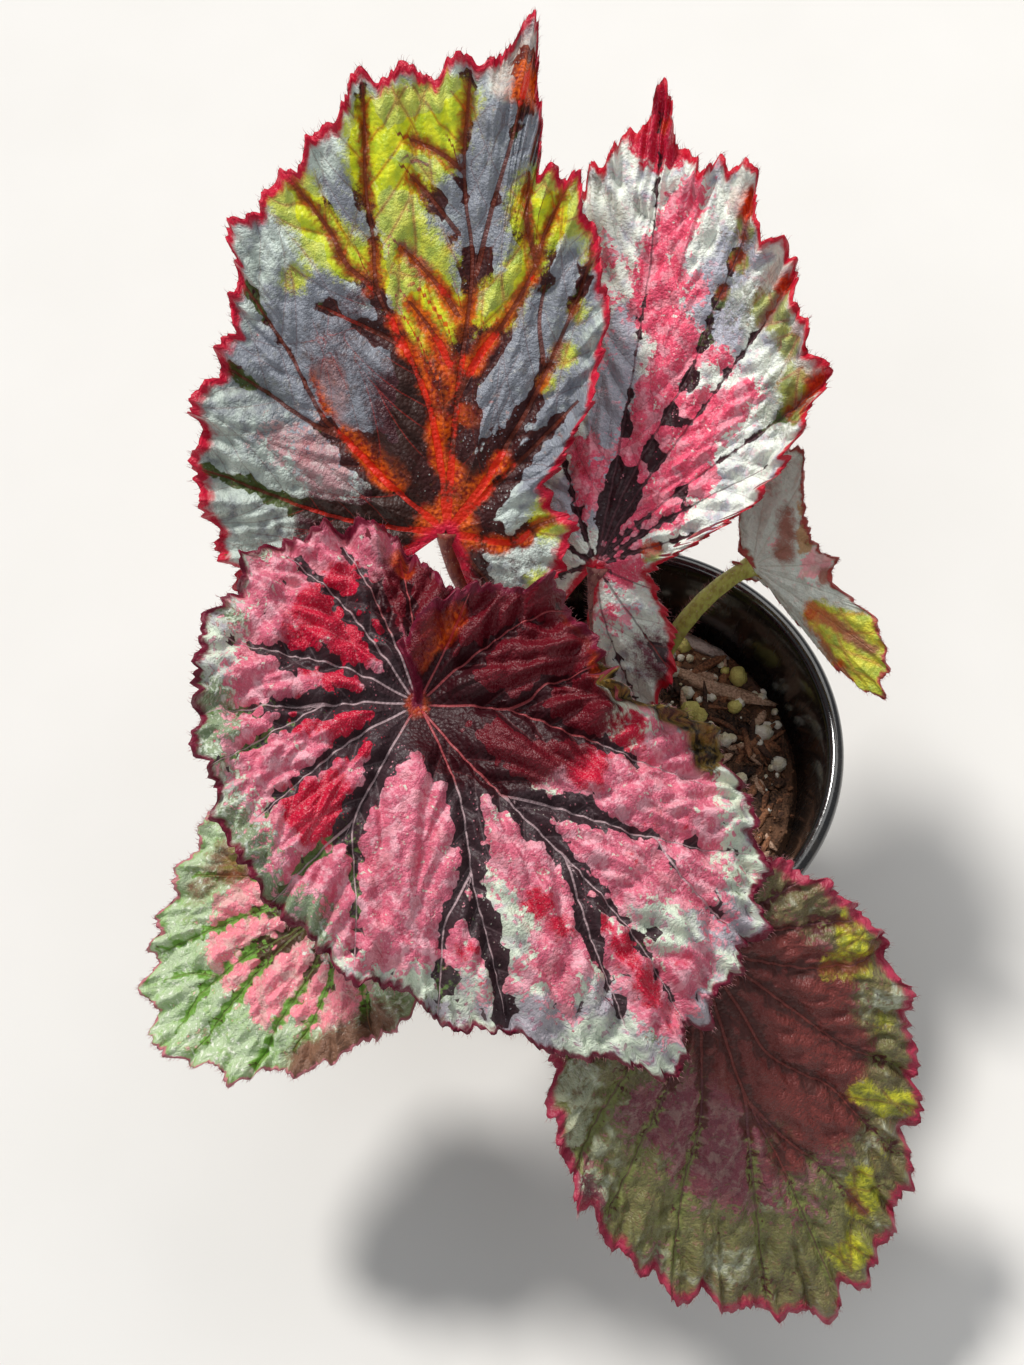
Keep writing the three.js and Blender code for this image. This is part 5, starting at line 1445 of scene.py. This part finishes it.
# ---------- the potting mix
mixData = {
    "surface": 70, "crown": 3, "edgeGap": 0.3, "bedRings": 120, "bedSides": 260,
    "chips": 620, "perlite": 300, "crumbs": 1820, "seed": 41,
    "lumps": [(1.6, 3.6, 1.0), (1.0, 1.7, 2.0), (1.3, 7.0, 3.0)],        # height, size, seed
    "longestChip": 17,
    "sticks": [        # two ends, width, thickness, tone
        ((14, 43.5), (31, 33.5), 4.0, 2.2, "grey"), ((12, 31), (42.5, 18.5), 4.4, 2.4, "pale"),
        ((16, 26), (30, 35), 2.6, 1.6, "brown"), ((30, 2), (42, 15), 2.4, 1.4, "brown"),
        ((10, 43.5), (22, 37.5), 3.0, 1.6, "brown"), ((34, 31), (41, 21), 2.2, 1.4, "dark"),
    ],
    "grains": [        # place, radius, tone
        (33.5, 28.5, 3.1, "yellow"), (18.5, 38, 2.6, "yellow"), (14.4, 34.6, 2.3, "white"),
        (19.7, 17.2, 3.0, "yellow"), (22, 16, 2.4, "yellow"), (32, 19.2, 2.1, "yellow"),
        (39.5, 22, 1.8, "white"),
        (37.8, 23, 1.4, "white"), (40, 24, 1.2, "white"), (28.8, 9, 2.2, "white"), (30.6, 9.8, 1.5, "white"),
        (39.7, 11.9, 2.4, "white"), (37.8, 12.6, 1.6, "white"), (40.8, 14, 1.4, "white"),
        (43.5, 14.5, 1.3, "white"),
        (30, 30.5, 1.3, "yellow"), (27, 28.2, 1.0, "white"), (43, 18.5, 1.1, "white"), (26, 22, 1.2, "white"),
    ],
}


def mixHeight(radius):        # mounded a little round the plant
    edge = insideRadius(mixData["surface"]) - mixData["edgeGap"]
    share = np.minimum(1, radius / edge)
    return mixData["surface"] - 1 + (mixData["crown"] + 1) * np.cos(np.pi / 2 * share)


def barkMaterial(name, light, dark):
    material = newMaterial(name, Specular_IOR_Level=0.3)
    place = placeWire(material)
    grainNoise = noise(scaled(place, (1.0, 1.0, 2.0)), 1.6, 5.0)
    patchNoise = noise(place, 0.12, 2.0)
    colour = mix(rise(grainNoise * 0.6 + patchNoise * 0.5, 0.4, 0.7), dark, light)
    feed(material, Base_Color=colour, Roughness=0.72 + 0.2 * grainNoise,
         Normal=bumped(grainNoise, 0.0008, 0.8))
    return material


def mixBed():
    edge = insideRadius(mixData["surface"]) - mixData["edgeGap"]
    bottom = pot["floor"] + mixData["edgeGap"]
    radii = edge * (np.arange(1, mixData["bedRings"] + 1) / mixData["bedRings"])
    turn = np.linspace(0, 2 * np.pi, mixData["bedSides"], endpoint=False)
    radius, around = np.meshgrid(radii, turn, indexing="ij")
    x, y = radius * np.cos(around), radius * np.sin(around)
    flat = np.stack([x, y], -1)
    lumps = sum(height * puffs(flat, size, seed) for height, size, seed in mixData["lumps"])
    z = mixHeight(radius) - 2.2 + lumps * smoothly(edge - radius, 0, 2)
    ring = np.stack([x, y, z], -1)
    footRadius = insideRadius(bottom) - 0.5
    foot = np.stack([footRadius * np.cos(turn), footRadius * np.sin(turn), np.full_like(turn, bottom)], -1)
    rows = np.concatenate([ring, foot[None]])
    points, faces = lidded(rows, (0, 0, rows[0, :, 2].mean()), (0, 0, bottom))
    newPiece("mixBed", points, faces, "potting_mix",
             [barkMaterial("mixCrumb", tone(116, 82, 60), tone(34, 23, 18))])


def scatter(count, draw, margin):
    edge = insideRadius(mixData["surface"]) - margin
    radius = edge * np.sqrt(draw.uniform(0, 1, count))
    turn = draw.uniform(0, 2 * np.pi, count)
    return radius * np.cos(turn), radius * np.sin(turn)


def chipShape(length, width, thick, draw):        # a split sliver of bark
    rings, sides = 7, 8
    share = np.linspace(-1, 1, rings)
    turn = np.linspace(0, 2 * np.pi, sides, endpoint=False) + draw.uniform(0, 6)
    body = (1 - np.abs(share) ** 4 * 0.75)[:, None]
    ragged = draw.uniform(0.72, 1.15, (rings, sides))
    x = np.repeat(share[:, None] * length / 2, sides, 1) + draw.normal(0, length * 0.02, (rings, sides))
    bow = draw.normal(0, 0.06) * length * share[:, None] ** 2
    y = np.cos(turn)[None] * width / 2 * body * ragged + bow
    z = np.sin(turn)[None] * thick / 2 * body * ragged
    index = np.arange(rings * sides).reshape(rings, sides)
    faces = sleeve(index) + [index[0][::-1].tolist(), index[-1].tolist()]
    return np.stack([x, y, z], -1).reshape(-1, 3), faces


def turnedAbout(points, heading, pitch):        # tipped about Y, then turned about Z
    return points @ (spin(0, 1, heading) @ spin(2, 0, pitch)).T


def laid(points, x, y, z, draw, tip):        # turned any way about Z, tipped at random, and put down
    heading, pitch = draw.uniform(0, 2 * np.pi), draw.normal(0, tip)
    return turnedAbout(points, heading, pitch) + (x, y, z)


def barkChips():
    draw = np.random.default_rng(mixData["seed"])
    xs, ys = scatter(mixData["chips"], draw, 4.5)
    groups = {"pale": [], "brown": [], "dark": [], "grey": []}
    for x, y in zip(xs, ys):
        length = min(draw.gamma(3.0, 2.0) + 2.5, mixData["longestChip"])
        points, faces = chipShape(length, draw.uniform(1.0, 3.4), draw.uniform(0.6, 1.8), draw)
        reach = math.hypot(x, y) + length / 2
        limit = insideRadius(mixData["surface"]) - 0.8
        pull = 1.0 if reach < limit else max(0.0, (limit - length / 2) / math.hypot(x, y))
        z = mixHeight(math.hypot(x, y)) - 0.2 + draw.uniform(-0.6, 1.4)
        kind = draw.choice(["pale", "brown", "dark"], p=[0.24, 0.46, 0.3])
        groups[kind].append((laid(points, x * pull, y * pull, z, draw, 0.16), faces))
    for start, end, width, thick, kind in mixData["sticks"]:
        run = np.subtract(end, start)
        middle = np.add(start, end) / 2
        points, faces = chipShape(np.linalg.norm(run), width, thick, draw)
        heading = math.atan2(run[1], run[0])
        z = mixHeight(math.hypot(*middle)) + 1.1
        groups[kind].append((turnedAbout(points, heading, 0.0) + (*middle, z), faces))
    tones = {"pale": (tone(214, 178, 152), tone(136, 104, 84)),
             "brown": (tone(164, 112, 80), tone(84, 54, 40)),
             "dark": (tone(96, 68, 54), tone(36, 25, 21)),
             "grey": (tone(176, 160, 154), tone(112, 96, 92))}
    for kind, parts in groups.items():
        points, faces = joined(parts)
        newPiece(kind + "Bark", points, faces, "potting_mix",
                 [barkMaterial(kind + "Bark", *tones[kind])])


def roundGrain(radius, draw, squash):        # a lumpy ball
    rings, sides = 7, 10
    polarTurn = np.linspace(0, np.pi, rings + 2)[1:-1]
    around = np.linspace(0, 2 * np.pi, sides, endpoint=False)
    a, b = np.meshgrid(polarTurn, around, indexing="ij")
    lump = radius * (1 + draw.normal(0, 0.08, a.shape))
    x, y, z = lump * np.sin(a) * np.cos(b), lump * np.sin(a) * np.sin(b), squash * lump * np.cos(a)
    ring = np.stack([x, y, z], -1)
    return lidded(ring, (0, 0, radius * squash), (0, 0, -radius * squash))


def perliteMaterial(name, light, stained):
    material = newMaterial(name, Specular_IOR_Level=0.3)
    place = placeWire(material)
    pits = cells(place, 2.2)
    stain = noise(place, 0.25, 3.0)
    colour = mix(rise(stain, 0.4, 0.65), light, stained)
    colour = mix((1 - rise(pits, 0.05, 0.2)) * 0.5, colour, tone(110, 96, 72))
    feed(material, Base_Color=colour, Roughness=0.75 + 0.2 * stain, Normal=bumped(pits, 0.0004, 0.8))
    return material


def perliteGrains():
    draw = np.random.default_rng(mixData["seed"] + 1)
    xs, ys = scatter(mixData["perlite"], draw, 4.0)
    groups = {"white": [], "yellow": []}
    grains = [(x, y, draw.uniform(1.5, 2.4) if i % 9 == 0 else draw.uniform(0.4, 1.2), "white")
              for i, (x, y) in enumerate(zip(xs, ys))]
    for x, y, radius, kind in grains + mixData["grains"]:
        points, faces = roundGrain(radius, draw, draw.uniform(0.7, 0.95))
        z = mixHeight(math.hypot(x, y)) + 0.4 + radius * 0.4
        groups[kind].append((laid(points, x, y, z, draw, 1.0), faces))
    tones = {"white": (tone(240, 236, 222), tone(214, 204, 170)),
             "yellow": (tone(226, 218, 130), tone(196, 184, 104))}
    for kind, parts in groups.items():
        points, faces = joined(parts)
        newPiece(kind + "Perlite", points, faces, "potting_mix",
                 [perliteMaterial(kind + "Perlite", *tones[kind])])


def crumbs():
    draw = np.random.default_rng(mixData["seed"] + 2)
    xs, ys = scatter(mixData["crumbs"], draw, 2.0)
    parts = []
    for x, y in zip(xs, ys):
        length, width, thick = draw.uniform(0.8, 2.6), draw.uniform(0.6, 1.5), draw.uniform(0.5, 1.0)
        points, faces = chipShape(length, width, thick, draw)
        z = mixHeight(math.hypot(x, y)) - 0.4 + draw.uniform(0, 1.3)
        parts.append((laid(points, x, y, z, draw, 0.6), faces))
    points, faces = joined(parts)
    newPiece("mixCrumbs", points, faces, "potting_mix",
             [barkMaterial("fineCrumb", tone(140, 100, 72), tone(46, 31, 25))])


mixBed()
barkChips()
perliteGrains()
crumbs()
print("potting mix filled")


# ---------- floor and lights
stageLook = {
    "floor": tone(226, 224, 220), "world": tone(232, 236, 240), "worldStrength": 0.32,
    "floorHalf": 60.0,        # metres from its middle to its edge
}


def floorPiece():
    mesh = bpy.data.meshes.new("floor")
    half = stageLook["floorHalf"]
    corners = [(-half, -half, 0), (half, -half, 0), (half, half, 0), (-half, half, 0)]
    mesh.from_pydata(corners, [], [(0, 1, 2, 3)])
    floor = bpy.data.objects.new("floor", mesh)
    scene.collection.objects.link(floor)
    material = newMaterial("floorPaper", Specular_IOR_Level=0.2, Roughness=0.85)
    place = placeWire(material)
    feed(material, Base_Color=mix(noise(place, 0.02), stageLook["floor"], tone(232, 230, 227)))
    mesh.materials.append(material)


def sunLamp(name, place, softness, strength, colour):
    data = bpy.data.lights.new(name, "SUN")
    data.angle, data.energy, data.color = softness, strength, colour
    light = bpy.data.objects.new(name, data)
    light.location = place
    light.rotation_euler = Vector(place).to_track_quat("Z", "Y").to_euler()
    scene.collection.objects.link(light)


def areaLamp(name, place, target, size, power, colour):
    data = bpy.data.lights.new(name, "AREA")
    data.shape, data.size, data.energy, data.color = "DISK", size, power, colour
    light = bpy.data.objects.new(name, data)
    light.location = place
    light.rotation_euler = (Vector(target) - Vector(place)).to_track_quat("-Z", "Y").to_euler()
    scene.collection.objects.link(light)


floorPiece()
world = bpy.data.worlds.new("studio")
world.use_nodes = True
background = world.node_tree.nodes["Background"]
background.inputs["Color"].default_value = stageLook["world"]
background.inputs["Strength"].default_value = stageLook["worldStrength"]
scene.world = world
sunLamp("sun", (-0.45, 0.5, 0.95), softness=0.16, strength=2.75, colour=(1.0, 0.975, 0.94))
areaLamp("fill", (-0.45, -0.4, 1.25), (0, 0, 0.08), size=0.7, power=2.2, colour=(0.93, 0.96, 1.0))
areaLamp("panel", (0.3, 0.62, 1.05), (0, 0, 0.09), size=0.8, power=3.4, colour=(1.0, 0.99, 0.97))
scene.view_settings.view_transform = "Standard"
print("stage lit")
